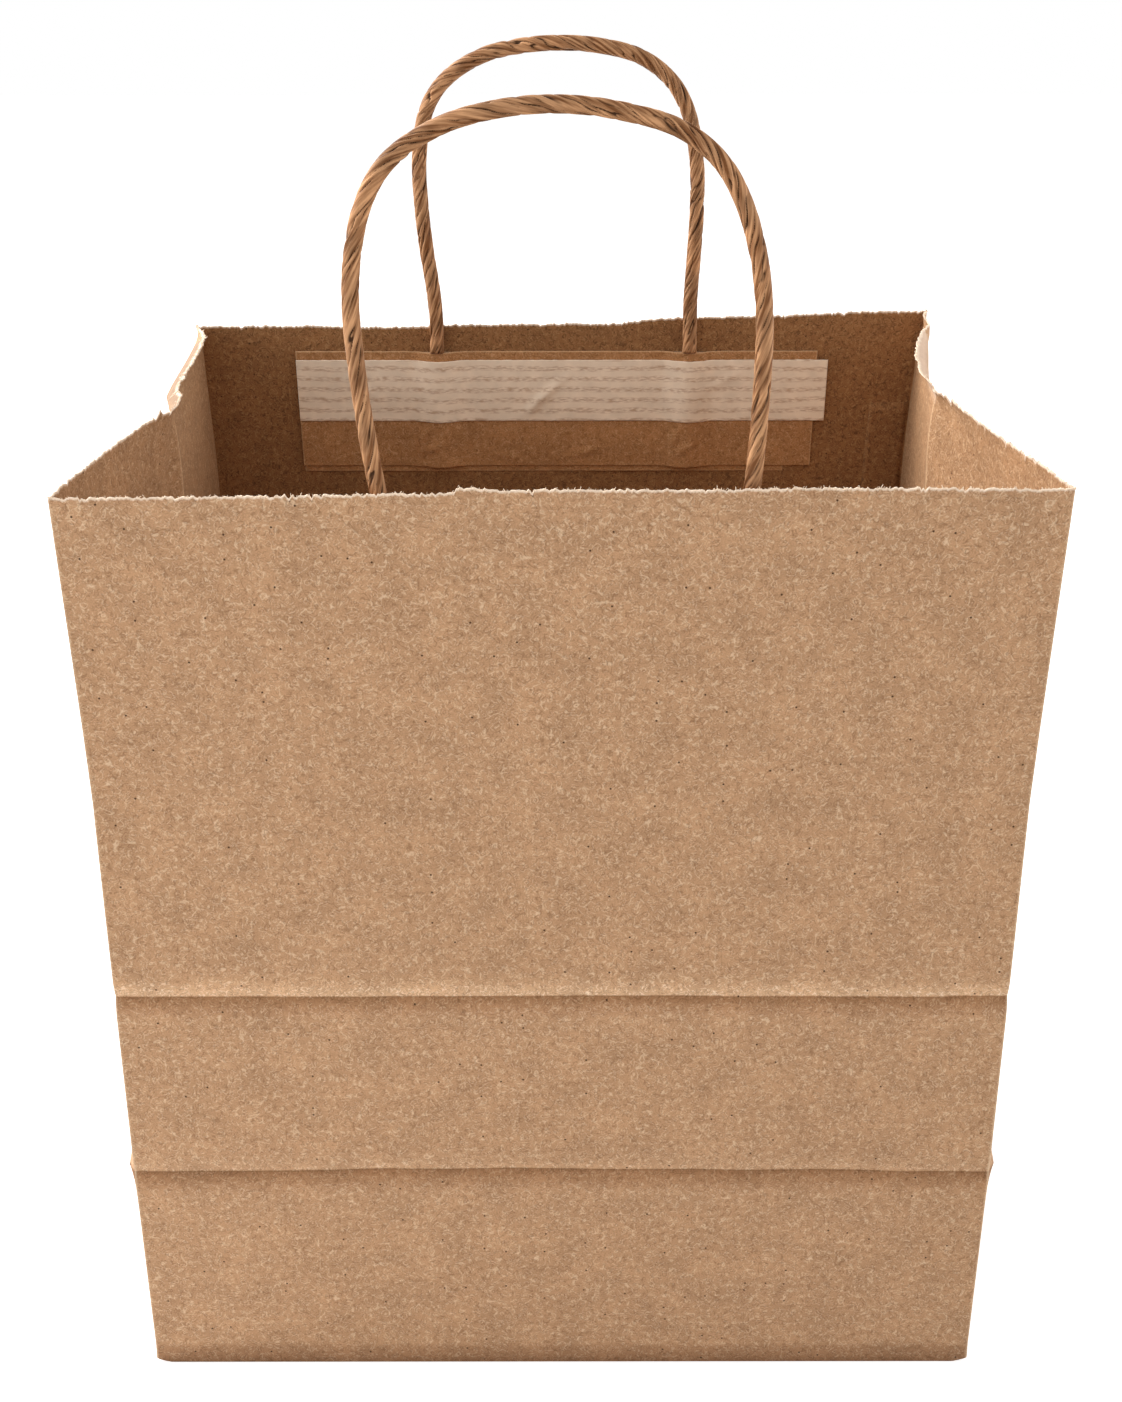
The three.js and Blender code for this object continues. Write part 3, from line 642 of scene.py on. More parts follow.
# %% The two handles
twist = twist_tree()
print("tree:", twist.name, "with", len(twist.nodes), "nodes")
for number, hand in enumerate(cord_route):
    points = [p * MM for p in cord_lines[hand]]
    handle = grow(
        f"{hand}_handle",
        line_mesh(f"{hand}_route", points),
        twist,
        {
            "Radius": cord_diameter[hand] / 2 * MM,
            "Seed": 3 + 4 * number,
            "Paper": cord_kraft,
        },
    )
    press_ends(handle, hand)
    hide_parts(f"{hand}_cord")
    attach(handle, "root")
    print(handle.name, len(handle.data.polygons), "faces")

# %% [markdown]
# ## The folded sheet
#
# The sheet could be cut from planes and folded one edge at a time, or grown as a grid: each
# column of the grid is a place round the tube and each row is a height. The grid is chosen,
# because the rules above then give every point at once, and rows can be packed close together
# where a fold is sharp. u runs round the bag in millimetres of paper, from the front left corner.

# %% Shape of the folds
corner_u = [0, bag_width, bag_width + gusset_width, 2 * bag_width + gusset_width]
crease_u = [corner_u[1] + half_gusset, corner_u[3] + half_gusset]
paper_round = 2 * (bag_width + gusset_width)


def crest(z, at, out, above, below):
    """A pressed fold: it stands out at height at, with a slope above and a steeper one below."""
    up = np.clip(1 - (z - at) / above, 0, 1) ** 2
    down = np.clip(1 + (z - at) / below, 0, 1) ** 2
    return out * np.where(z >= at, up, down)


def front_out(z):
    """The front wall lay on the inside of both folds, so they are valleys there."""
    upper = crest(z, fold_line["upper"][0], 1.2, 7, 8)
    lower = crest(z, fold_line["lower"][0], 0.9, 9, 7)
    return -upper - lower


def rear_out(z):
    """The rear wall has only the upper fold, and lay on its outside."""
    return crest(z, upper_fold, 0.7, 9, 9)


def ripple(x, z, seed, size, high):
    """Slow waves of paper that has been folded flat and opened: high is their height in mm."""
    rng = np.random.default_rng(seed)
    total = np.zeros(np.broadcast(x, z).shape)
    for _ in range(7):
        angle, phase = rng.uniform(0, math.pi), rng.uniform(0, 2 * math.pi)
        length = size * rng.uniform(0.6, 1.8)
        total = total + np.sin(2 * math.pi * (x * np.cos(angle) + z * np.sin(angle)) / length + phase)
    return high * total / 7**0.5


# How each gusset leans in near the rim, as s, lean and curl. s runs from the front corner (-1)
# over the crease (0) to the rear corner (1). The lean is how far the paper lies inside the
# straight side 4 mm below the cut, and the curl is how much further the last 4 mm go.
lip = {
    "left": [
        (-1, 0, 0), (-0.9, 0.3, 0.1), (-0.7, 3, 0.2), (-0.5, 5.6, 0.3), (-0.31, 8.4, 0.5),
        (-0.23, 10.2, 0.7), (-0.2, 11.2, 0.9), (-0.15, 12.8, 1.6), (-0.08, 13, 2.4),
        (-0.03, 12.2, 3), (0.03, 10.8, 3.8), (0.14, 6.8, 5), (0.3, 5.2, 5.8), (0.45, 4, 6.2),
        (0.68, 2.4, 6.4), (0.84, 1.2, 6), (0.93, 0.5, 3.6), (1, 0, 0.4),
    ],
    "right": [
        (-1, 0, 0), (-0.8, 3.4, 0.2), (-0.6, 7.2, 0.6), (-0.4, 10.6, 1), (-0.19, 13.6, 1.6),
        (-0.15, 13.6, 1.2), (-0.06, 16.4, 2.2), (0.02, 16.2, 1.6), (0.08, 15.6, 2.7),
        (0.17, 15, 3.8), (0.25, 13.6, 4.1), (0.36, 11.6, 5), (0.56, 7.6, 4.6), (0.7, 5, 2.8),
        (0.8, 2.6, 0.3), (0.95, 1.6, 0.9), (1, 0, 0.2),
    ],
}
# The crease is pulled in more than the rest: how far, and over which share of the half gusset
crease_nip = {"left": (2.9, 0.06), "right": (5.6, 0.4)}
# How far the pull of the gussets draws each rear corner in, at these heights
waist_heights = [lower_fold, 200, 255, 302, 308]
waist_drawn = {"left": [0, 2.2, 2.4, 1.4, 0], "right": [0, 3.0, 3.3, 1.9, 0]}


def waist(side, z):
    return np.interp(z, waist_heights, waist_drawn[side])


def gusset_in(side, s, z):
    """How far a gusset's paper lies inside the straight side."""
    share = np.abs(s)
    extra, reach = crease_nip[side]
    straight = crease_depth[side] * (1 - share) + extra * np.clip(1 - share / reach, 0, 1)
    cut = np.interp(s, [-1, 1], gusset_rim[side])
    places, leant, curled = zip(*lip[side])
    lean_in = (np.interp(s, places, leant) - straight) * np.clip(1 - (cut - 4 - z) / 26, 0, 1) ** 2
    curl = np.interp(s, places, curled) * np.clip(1 - (cut - z) / 4.5, 0, 1.1) ** 1.5
    return straight * opening(z) + lean_in + curl


def gusset_out(s, z):
    """Folds that stand out of a gusset: the diagonals below, and the two pressed folds."""
    share = np.abs(s)
    diagonal = np.clip(1 - np.abs(z - lower_fold * (1 - share)) / 5, 0, 1) ** 1.5 * (z < lower_fold)
    place = np.clip((1 + s) / 0.17, 0, 1)
    pinch = 3.4 * np.sin(math.pi * place) * np.clip(1 - np.abs(z - lower_fold) / 15, 0, 1) ** 1.3
    pressed = crest(z, upper_fold, 0.8, 7, 6) + (s < 0) * crest(z, lower_fold, 0.8, 8, 6)
    return 0.6 * diagonal + pinch + pressed * (1 - share)


def sheet_point(u, z):
    """Outside of the sheet at u round the tube and height z, both arrays of the same shape."""
    u = np.mod(u, paper_round)
    x, y = np.zeros(u.shape), np.zeros(u.shape)
    depth, back = half_depth(z), lean(z)
    front = u < corner_u[1]
    right = (u >= corner_u[1]) & (u < corner_u[2])
    rear = (u >= corner_u[2]) & (u < corner_u[3])
    left = u >= corner_u[3]
    s = np.where(right, -1 + 2 * (u - corner_u[1]) / gusset_width, 0)
    s = np.where(left, 1 - 2 * (u - corner_u[3]) / gusset_width, s)
    calm = np.clip(z / 40, 0, 1)
    x = np.where(front, -half_width + u, x)
    y = np.where(front, back - depth - front_out(z) - ripple(u, z, 4, 70, 0.22) * calm, y)
    x = np.where(rear, half_width - (u - corner_u[2]), x)
    drawn = np.where(x > 0, waist("right", z), waist("left", z))
    x = np.where(rear, x * (1 - drawn / half_width), x)
    y = np.where(rear, back + depth + rear_out(z) + ripple(u, z, 9, 60, 0.3) * calm, y)
    by_corner = np.clip(1 - (1 - np.abs(s)) / 0.08, 0, 1)
    corner_out = np.where(s < 0, -front_out(z), rear_out(z)) * by_corner
    for side, here, sign in (("right", right, 1), ("left", left, -1)):
        wave = ripple(s * 90, z, 12 + sign, 55, 0.3) * calm * (1 - s**2)
        out = gusset_out(s, z) - gusset_in(side, s, z) + wave - waist(side, z) * np.clip(s, 0, 1)
        x = np.where(here, sign * (half_width + out), x)
        y = np.where(here, back + s * depth + corner_out, y)
    return np.stack([x, y, z], axis=-1)


def soft_point(u, z, radius=0.35):
    """The same, with the corners rounded by averaging a little to both sides."""
    total = 2 * sheet_point(u, z)
    for step in (-radius, radius, -radius / 2, radius / 2):
        total = total + sheet_point(u + step, z)
    return total / 6


print("the right lip curls in", max(curl for _, _, curl in lip["right"]), "mm at most")

# %% [markdown]
# ## The rim
#
# The bag was cut from the roll with a serrated knife, so the rim is a row of small uneven teeth,
# about 2 mm apart. The front rim has a step where the cut slipped, and the rear rim rises to
# the right. At both gusset creases the paper has torn a little.

# %% Rim height and teeth
# The line of the cut across the front and the rear wall: x and height
front_cut = [
    (-135, 306.3), (-48, 307.4), (-28, 307.8), (-27.4, 309.2), (-15, 308.6), (45, 308.5),
    (62, 309.2), (135, 308.8),
]
rear_cut = [
    (-135, 308.4), (-97, 308.5), (-63, 308.1), (-49, 308.6), (-41, 309.0), (22, 309.2),
    (33, 311.0), (51, 312.0), (82, 312.3), (113, 313.7), (135, 313.9),
]


def rim_height(u):
    """Height of the cut at u, before its teeth."""
    u = np.mod(u, paper_round)
    front = np.interp(u - half_width, *zip(*front_cut))
    right = np.interp(u, corner_u[1:3], gusset_rim["right"])
    rear = np.interp(half_width - (u - corner_u[2]), *zip(*rear_cut))
    left = np.interp(u, [corner_u[3], paper_round], gusset_rim["left"][::-1])
    return np.select([u < corner_u[1], u < corner_u[2], u < corner_u[3]], [front, right, rear], left)


def tooth_drop(u, rng):
    """How far the cut edge lies below the rim's line: uneven teeth, and a finer fray on them."""
    peaks = np.cumsum(rng.uniform(0.9, 3.4, 600))
    peaks = peaks[peaks < paper_round - 1]
    places, drops = [0], [0]
    for a, b in zip(peaks, peaks[1:]):
        places += [a, a + (b - a) * rng.uniform(0.15, 0.85)]
        drops += [rng.uniform(0, 0.45), rng.uniform(0.3, 0.6) + rng.exponential(0.18)]
    teeth = np.interp(u, places, drops)
    return teeth + rng.normal(0, 0.1, u.shape)


def tear(u, at, half, deep):
    return deep * np.clip(1 - np.abs(u - at) / half, 0, 1)


# Where the paper has torn at the cut: place, half width and depth in mm. One stands up.
tears = [
    (crease_u[1] - 8.5, 0.7, 3.0), (crease_u[1] + 13, 1.0, 1.0), (crease_u[1] + 18, 1.4, -1.8),
    (crease_u[0] - 1.5, 2.4, 1.8), (crease_u[0] - 12, 1.6, 2.0), (crease_u[0] - 34, 0.6, 1.6),
    (crease_u[0] - 39, 0.5, 1.2), (crease_u[0] - 52, 0.6, 1.8), (crease_u[0] - 63, 0.5, 1.4),
]

print("rim from", rim_height(np.array([0.0]))[0], "to", rim_height(np.array([450.0]))[0], "mm")

# %% Rows and columns of the sheet
near_corner = [-2.5, -1, -0.5, -0.25, 0, 0.25, 0.5, 1, 2.5]
near_crease = [-8, -5.4, -3.6, -2, -1, -0.4, 0, 0.4, 1, 2, 3.6, 5.4, 8]
columns = set(np.arange(0, paper_round, 4.5).round(3))
for at in corner_u:
    columns = {u for u in columns if abs(u - at) > 3 and abs(u - paper_round - at) > 3}
for at in corner_u:
    columns |= {round((at + d) % paper_round, 3) for d in near_corner}
for at in crease_u:
    columns = {u for u in columns if abs(u - at) > 8.5}
    columns |= {round(at + d, 3) for d in near_crease}
columns = np.array(sorted(columns))

around_fold = [-9, -7, -5.5, -4.2, -3, -2, -1.2, -0.6, -0.2, 0.2, 0.6, 1.2, 2, 3, 4.2, 5.5, 7, 9]
rows = {z for z in np.arange(8, 281, 4.5) if min(abs(z - lower_fold), abs(z - upper_fold)) > 10}
for at in (lower_fold, upper_fold):
    rows |= {at + d for d in around_fold}
rows = np.array(sorted(rows))
print(len(columns), "columns and", len(rows), "rows")

# %% Rings and lines of the sheet
edge_round, corner_round = 0.5, 2.4  # how far the base's edge and its corners are worn round
edge_turn = np.radians([0, 18, 36, 54, 72, 90])
cut_band = 1.9  # height of the band below the cut that has finer columns
cut_parts = 9  # and how many of them lie in each column of the sheet


def smooth_bottom(u):
    """Rings of the pressed edge between base and walls, from the base outwards and up. The
    edge is sharp, and only its corners are worn round."""
    near = np.min([np.abs(u - at) for at in (*corner_u, paper_round)], axis=0)
    radius = edge_round + (corner_round - edge_round) * np.clip(1 - near / 4, 0, 1)
    rings = []
    for turn in edge_turn:
        inward = radius * (1 - math.sin(turn))
        ring = soft_point(u, base_top + radius * (1 - math.cos(turn)))
        for axis in (0, 1):
            ring[:, axis] -= np.sign(ring[:, axis]) * np.minimum(inward, np.abs(ring[:, axis]))
        rings.append(ring)
    return rings


def sheet_rings():
    """Rings of the sheet from its base up to the band below the cut."""
    rings = smooth_bottom(columns)
    rings += [soft_point(columns, np.full(columns.shape, z)) for z in rows]
    below = rim_height(columns) - cut_band
    for part in (0.3, 0.54, 0.72, 0.83, 0.92):
        rings.append(soft_point(columns, rows[-1] + (below - rows[-1]) * part))
    return rings


def cut_lines():
    """The band below the cut: the places of its columns, and its lines up to the ragged edge."""
    rng = np.random.default_rng(21)
    edges = np.append(columns, columns[0] + paper_round)
    spans = [np.linspace(a, b, cut_parts, endpoint=False) for a, b in zip(edges, edges[1:])]
    fine = np.concatenate(spans)
    tops = rim_height(fine)
    torn = sum(tear(fine, *place) for place in tears)
    cut = tops - tooth_drop(fine, rng) - torn
    lines = [soft_point(fine, z) for z in (tops - cut_band - torn, cut - 0.9, cut - 0.4, cut)]
    frayed = rng.normal(0, 0.09, (len(fine), 1)) + 0.12 * np.sin(fine / 3.1)[:, None]
    along = np.roll(lines[-1], -1, axis=0) - np.roll(lines[-1], 1, axis=0)
    inward = np.stack([-along[:, 1], along[:, 0], np.zeros(len(fine))], axis=1)
    inward /= np.maximum(np.linalg.norm(inward, axis=1, keepdims=True), 1e-6)
    lines[-1] = lines[-1] + inward * frayed
    return fine, lines


fine_columns, band_lines = cut_lines()
print(len(fine_columns), "columns along the cut")


# %% Marks on the sheet
def mark_wear_and_light(mesh, grid, band):
    """Notes on each point how near it is to the cut, to an upright fold and to a curled lip."""
    cut_near = mesh.verts.layers.float["cut_near"]
    for line, near in zip(band, (0, 0.1, 0.6, 1)):
        for vertex in line:
            vertex[cut_near] = near
    fold_near = mesh.verts.layers.float["fold_near"]
    for places, lines in ((columns, grid), (fine_columns, band)):
        from_fold = np.min([np.abs(places - at) for at in (*corner_u, *crease_u)], axis=0)
        for line in lines:
            for vertex, distance in zip(line, from_fold):
                vertex[fold_near] = max(1 - distance, 0)
    near_cut = [(columns, ring) for ring in grid[-4:]] + [(fine_columns, line) for line in band]
    for name, first_u, last_u in (("right_lip", 358, 425), ("left_lip", 735, 815)):
        lipped = mesh.verts.layers.float[name]
        for places, line in near_cut:
            for u, top, vertex in zip(places, rim_height(places), line):
                below_cut = top - vertex.co.z
                vertex[lipped] = (first_u < u < last_u) * min(max(2 - below_cut / 3, 0), 1)


def mark_flat(mesh, grid, band):
    """Notes on each corner of each face where it lies on the sheet before it is folded."""
    spread = {}
    for places, lines in ((columns, grid), (fine_columns, band)):
        for line in lines:
            spread |= {vertex: (u, vertex.co.z) for u, vertex in zip(places, line)}
    unfolded = mesh.loops.layers.float_vector["unfolded"]
    for face in mesh.faces:
        start = spread[face.verts[0]][0]
        for loop in face.loops:
            u, z = spread[loop.vert]
            turns = round((start - u) / paper_round)  # so that a face over the start isn't torn
            loop[unfolded] = (u + turns * paper_round, z, 0)


# %% Faces between the lines of a grid
def lay_faces(mesh, grid, closed=False, flip=False):
    """Faces between each line of points and the next. A closed grid runs round a tube."""
    for low, high in zip(grid, grid[1:]):
        count = len(low)
        for i in range(count if closed else count - 1):
            j = (i + 1) % count
            corners = (low[i], low[j], high[j], high[i])
            mesh.faces.new(corners[::-1] if flip else corners)


def grow_sheet():
    mesh = bmesh.new()
    for name in ("cut_near", "fold_near", "left_lip", "right_lip"):
        mesh.verts.layers.float.new(name)
    mesh.loops.layers.float_vector.new("unfolded")
    grid = [[mesh.verts.new(point) for point in ring] for ring in sheet_rings()]
    lay_faces(mesh, grid, closed=True)
    mesh.faces.new(reversed(grid[0]))
    band = [[mesh.verts.new(point) for point in line] for line in band_lines]
    last, total = grid[-1], len(band[0])
    for i in range(len(last)):
        top = [band[0][(i * cut_parts + k) % total] for k in range(cut_parts, -1, -1)]
        mesh.faces.new((last[i], last[(i + 1) % len(last)], *top))
    lay_faces(mesh, band, closed=True)
    mark_wear_and_light(mesh, grid, band)
    mark_flat(mesh, grid, band)
    for vertex in mesh.verts:
        vertex.co *= MM
    return mesh


# %% Pieces from meshes
def keep_mesh(name, mesh, materials, smooth=True):
    """Turns a bmesh into an object at the origin."""
    data = bpy.data.meshes.new(name)
    mesh.to_mesh(data)
    mesh.free()
    for material in materials:
        data.materials.append(material)
    if smooth:
        data.shade_smooth()
    piece = bpy.data.objects.new(name, data)
    bpy.context.scene.collection.objects.link(piece)
    return piece


def thicken(piece, thickness, inner=0, rim=0):
    """Gives a sheet its thickness, inwards, and keeps the result. inner and rim are how many
    places further down the list of papers those of the inside and of the cut edge are."""
    solid = piece.modifiers.new("thickness", "SOLIDIFY")
    solid.thickness = thickness * MM
    solid.offset = -1
    solid.material_offset = inner
    solid.material_offset_rim = rim
    done = piece.evaluated_get(bpy.context.evaluated_depsgraph_get())
    mesh = bpy.data.meshes.new_from_object(done)
    piece.modifiers.clear()
    piece.data = mesh
    mesh.name = piece.name
    return piece


# %% The folded sheet
sheet_papers = [kraft_outside, kraft_inside, kraft_edge, kraft_wall_shaded, kraft_base]
bag = keep_mesh("folded_sheet", grow_sheet(), sheet_papers)
thicken(bag, sheet, inner=1, rim=2)
# Faces that look up or down get the base's paper, and the inside of the front and rear walls gets the
# paper with painted shade
for face in bag.data.polygons:
    paper = sheet_papers[face.material_index]
    by_a_wall = abs(face.normal.y) > 0.7 and abs(face.center.y) > 60 * MM
    if paper in (kraft_outside, kraft_inside) and abs(face.normal.z) > 0.9:
        face.material_index = sheet_papers.index(kraft_base)
    elif paper == kraft_inside and by_a_wall:
        face.material_index = sheet_papers.index(kraft_wall_shaded)
bag.data.set_sharp_from_angle(angle=math.radians(24))
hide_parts("bag_body")
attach(bag, "root")
print(bag.name, len(bag.data.polygons), "faces")

# %% [markdown]
# ## Frayed fibres on the rim
#
# The knife pulls single fibres out of the cut. They could be drawn one by one, but Geometry
# Nodes can sow them along the cut: short bent hairs, each turned and sized by chance, so that no
# two tufts are alike. They catch the light and give the rim its pale, broken line.

# %% Geometry Nodes tree of the frayed rim
def fray_tree():
    sizes = {"Spacing": 0.0006, "Share": 0.55, "Thickness": 0.00009}
    tree, given = new_tree("fray_the_rim", sizes, {"Seed": 1})
    line = add(tree, "GeometryNodeMeshToCurve", {0: given["Geometry"]}).outputs[0]
    finer = {"Curve": line, "Length": given["Spacing"]}
    line = add(tree, "GeometryNodeResampleCurve", finer, mode="LENGTH").outputs[0]
    bend = {"Resolution": 4, "Start": (0, 0, -0.0003), "Middle": (0.0001, 0, 0.0004)}
    tip = {"End": (0.0006, 0, 0.0006)}
    hair = add(tree, "GeometryNodeCurveQuadraticBezier", bend | tip).outputs[0]
    round_one = {"Resolution": 4, "Radius": given["Thickness"]}
    ring = add(tree, "GeometryNodeCurvePrimitiveCircle", round_one).outputs[0]
    swept = {"Curve": hair, "Profile Curve": ring, "Fill Caps": True}
    hair = add(tree, "GeometryNodeCurveToMesh", swept).outputs[0]
    chance = {"Probability": given["Share"], "Seed": given["Seed"]}
    chosen = add(tree, "FunctionNodeRandomValue", chance, data_type="BOOLEAN").outputs[3]
    turns = {0: (-0.9, -0.9, 0), 1: (0.9, 0.9, 2 * math.pi), "Seed": given["Seed"]}
    turn = add(tree, "FunctionNodeRandomValue", turns, data_type="FLOAT_VECTOR").outputs[0]
    size = add(tree, "FunctionNodeRandomValue", {2: 0.3, 3: 1.1, "Seed": given["Seed"]}).outputs[1]
    sown = {"Points": line, "Instance": hair, "Selection": chosen, "Rotation": turn, "Scale": size}
    hairs = add(tree, "GeometryNodeInstanceOnPoints", sown).outputs[0]
    end_tree(tree, hairs, given["Paper"])
    return tree


rim_path = [Vector(point) * MM for point in band_lines[-1]]
rim_path.append(rim_path[0])
fray = grow("rim_fray", line_mesh("rim_path", rim_path), fray_tree(), {"Seed": 5, "Paper": kraft_edge})
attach(fray, "root")
print(fray.name, len(fray.data.polygons), "faces")

# %% [markdown]
# ## The base from below
#
# The ends of the tube are folded in as two flaps, one over the other, and glued. Each flap
# narrows at 45 degrees. The rear flap lies on the base and the front one laps over it.

# %% Base flaps
flap_inset, flap_reach = 3.0, half_gusset + 12  # from the base's edge, and past its middle
flap_paper, flap_bevel = 0.09, 0.02


def base_flap(name, side, low):
    wide, deep = half_width - flap_inset, flap_reach - flap_inset
    outline = [(-wide, 0), (wide, 0), (wide - deep, deep), (-wide + deep, deep)]
    mesh = bmesh.new()
    points = [mesh.verts.new((x, side * (half_gusset - flap_inset - y), low)) for x, y in outline]
    face = mesh.faces.new(points)
    made = bmesh.ops.extrude_face_region(mesh, geom=[face])["geom"]
    raised = [v for v in made if isinstance(v, bmesh.types.BMVert)]
    bmesh.ops.translate(mesh, verts=raised, vec=(0, 0, flap_paper))
    bmesh.ops.recalc_face_normals(mesh, faces=mesh.faces)
    bmesh.ops.bevel(mesh, geom=mesh.edges, offset=flap_bevel, segments=2, affect="EDGES")
    for vertex in mesh.verts:
        vertex.co *= MM
    flap = keep_mesh(name, mesh, [kraft_base], smooth=False)
    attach(flap, "root")
    return flap


for name, side, low in (("rear_base_flap", 1, 0.1), ("front_base_flap", -1, 0.0)):
    flap = base_flap(name, side, low)
    print(flap.name, [round(d / MM, 1) for d in flap.dimensions])

# %% [markdown]
# ## The glued lap
#
# The tube is closed by gluing one edge of the sheet inside the other. From inside it shows as a
# narrow upright strip beside a corner of the rear wall.

# %% A piece grown as a grid
def grid_piece(name, papers, points, cut_near, flat, flip=False):
    """A piece from lines of points in mm, with each point's nearness to a pale cut edge and its
    place on the flat paper."""
    mesh = bmesh.new()
    mesh.verts.layers.float.new("cut_near")
    mesh.verts.layers.float_vector.new("unfolded")
    near = mesh.verts.layers.float["cut_near"]
    unfolded = mesh.verts.layers.float_vector["unfolded"]
    grid = []
    for line, edge_line, flat_line in zip(points, cut_near, flat):
        grid.append([mesh.verts.new([part * MM for part in point]) for point in line])
        for vertex, edge, place in zip(grid[-1], edge_line, flat_line):
            vertex[near] = edge
            vertex[unfolded] = place
    lay_faces(mesh, grid, flip=flip)
    return keep_mesh(name, mesh, papers)


# %% Glued lap inside the rear wall
lap_start, lap_end, lap_foot = 1.2, 16, 8  # from the corner, and above the base
lap_pale = 0.05  # all of it, so that its edges hardly show
across = np.linspace(corner_u[2] + lap_start, corner_u[2] + lap_end, 9)
places, levels_up = np.meshgrid(across, rows[rows > lap_foot])
points = soft_point(places, levels_up)
points[..., 1] -= sheet + 0.05
flat = np.stack([places + 200, levels_up, np.zeros(places.shape)], axis=-1)
# The lap lies inside the rear wall and gets the same painted shade
lap = grid_piece("glued_lap", [kraft_wall_shaded], points, np.full(places.shape, lap_pale), flat)
thicken(lap, 0.15)
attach(lap, "root")
print(lap.name, [round(d / MM, 1) for d in lap.dimensions])

# %% [markdown]
# ## Patches and tape
#
# Each handle is held by two strips of kraft paper with the cord's ends glued between them, and
# a strip of white paper tape over the upper part. The strips show every bulge of what lies
# under them, so they are grown as grids: a point is lifted where it crosses a cord.

# %% Strips over the cords
# Small wrinkles of the glued strips: x, drop, turn in degrees, half length and height in mm
wrinkles = [
    (-6, 17, 42, 9, 1.1), (-9, 20, 60, 6, 0.8), (-52, 33, 55, 6, 0.9), (-49, 38, 20, 5, 0.7),
    (43, 34, 70, 5, 0.9), (47, 38, 35, 5, 0.7), (60, 12, 30, 7, 0.4), (-75, 14, 150, 8, 0.4),
    (10, 40, 15, 9, 0.6), (-20, 42, 165, 7, 0.5),
]
wrinkle_wide, bulge_reach = 1.3, 11  # half the width of a wrinkle, and of a bulge over a cord


def strip_lift(x, drop, hand, over_cords, seed, edge):
    """How far a strip's points stand off the layer below: bulges, waves and wrinkles in mm."""
    lift = np.zeros(x.shape)
    if over_cords:
        for end in (-1, 1):
            rope = rope_middle[hand] + end * rope_gap[hand] / 2
            near = np.clip(np.abs(x - rope) / bulge_reach, 0, 1)
            lift += (glued_flat + seat) * (1 + np.cos(math.pi * near)) / 2
    lift += np.clip(ripple(x, drop, seed, 26, 0.09), -0.12, 0.2) * np.clip(edge / 4, 0, 1)
    for at, low, turn, long, high in wrinkles:
        turn = math.radians(turn)
        along = (x - at) * math.cos(turn) - (drop - low) * math.sin(turn)
        aside = (x - at) * math.sin(turn) + (drop - low) * math.cos(turn)
        bump = np.exp(-((aside / wrinkle_wide) ** 2) - (along / long) ** 2)
        lift += high * bump * np.clip(edge / 2, 0, 1)
    return lift


def strip_piece(name, hand, x_range, drop_range, level, thick, over_cords, papers, pale_edges, seed):
    """A glued strip. drop_range is how far its top and bottom edges lie below the patch's top,
    and pale_edges are those of its cut edges that catch the light and get a painted highlight for it."""
    side = -1 if hand == "front" else 1
    (left, right), (top, foot) = x_range, drop_range
    inner_across = np.linspace(left + 1, right - 1, 170)
    across = np.array([left, left + 0.4, *inner_across, right - 0.4, right])
    inner_down = np.linspace(top + 1, foot - 1, round(foot - top))
    down = np.array([top, top + 0.4, *inner_down, foot - 0.4, foot])
    x, drop = np.meshgrid(across, down)
    from_edge = {"left": x - left, "right": right - x, "top": drop - top, "foot": foot - drop}
    edge = np.minimum.reduce(list(from_edge.values()))
    pale = np.minimum.reduce([from_edge[name] for name in pale_edges])
    lift = level + thick + strip_lift(x, drop, hand, over_cords, seed, edge)
    drop[[0, -1]] += np.random.default_rng(seed).normal(0, 0.05, across.shape)
    flat = np.stack([x + 100 * seed, drop, np.zeros(x.shape)], axis=-1)
    place = np.vectorize(lambda *spot: tuple(on_patch(side, *spot)))
    points = np.stack(place(x, lift, drop), axis=-1)
    piece = grid_piece(name, papers, points, 0.6 * np.clip(1 - pale, 0, None), flat, flip=side > 0)
    thicken(piece, thick, rim=1)
    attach(piece, "root")
    return piece


# %% White tape material
glue_pitch = 4.1  # mm from one row of glue to the next


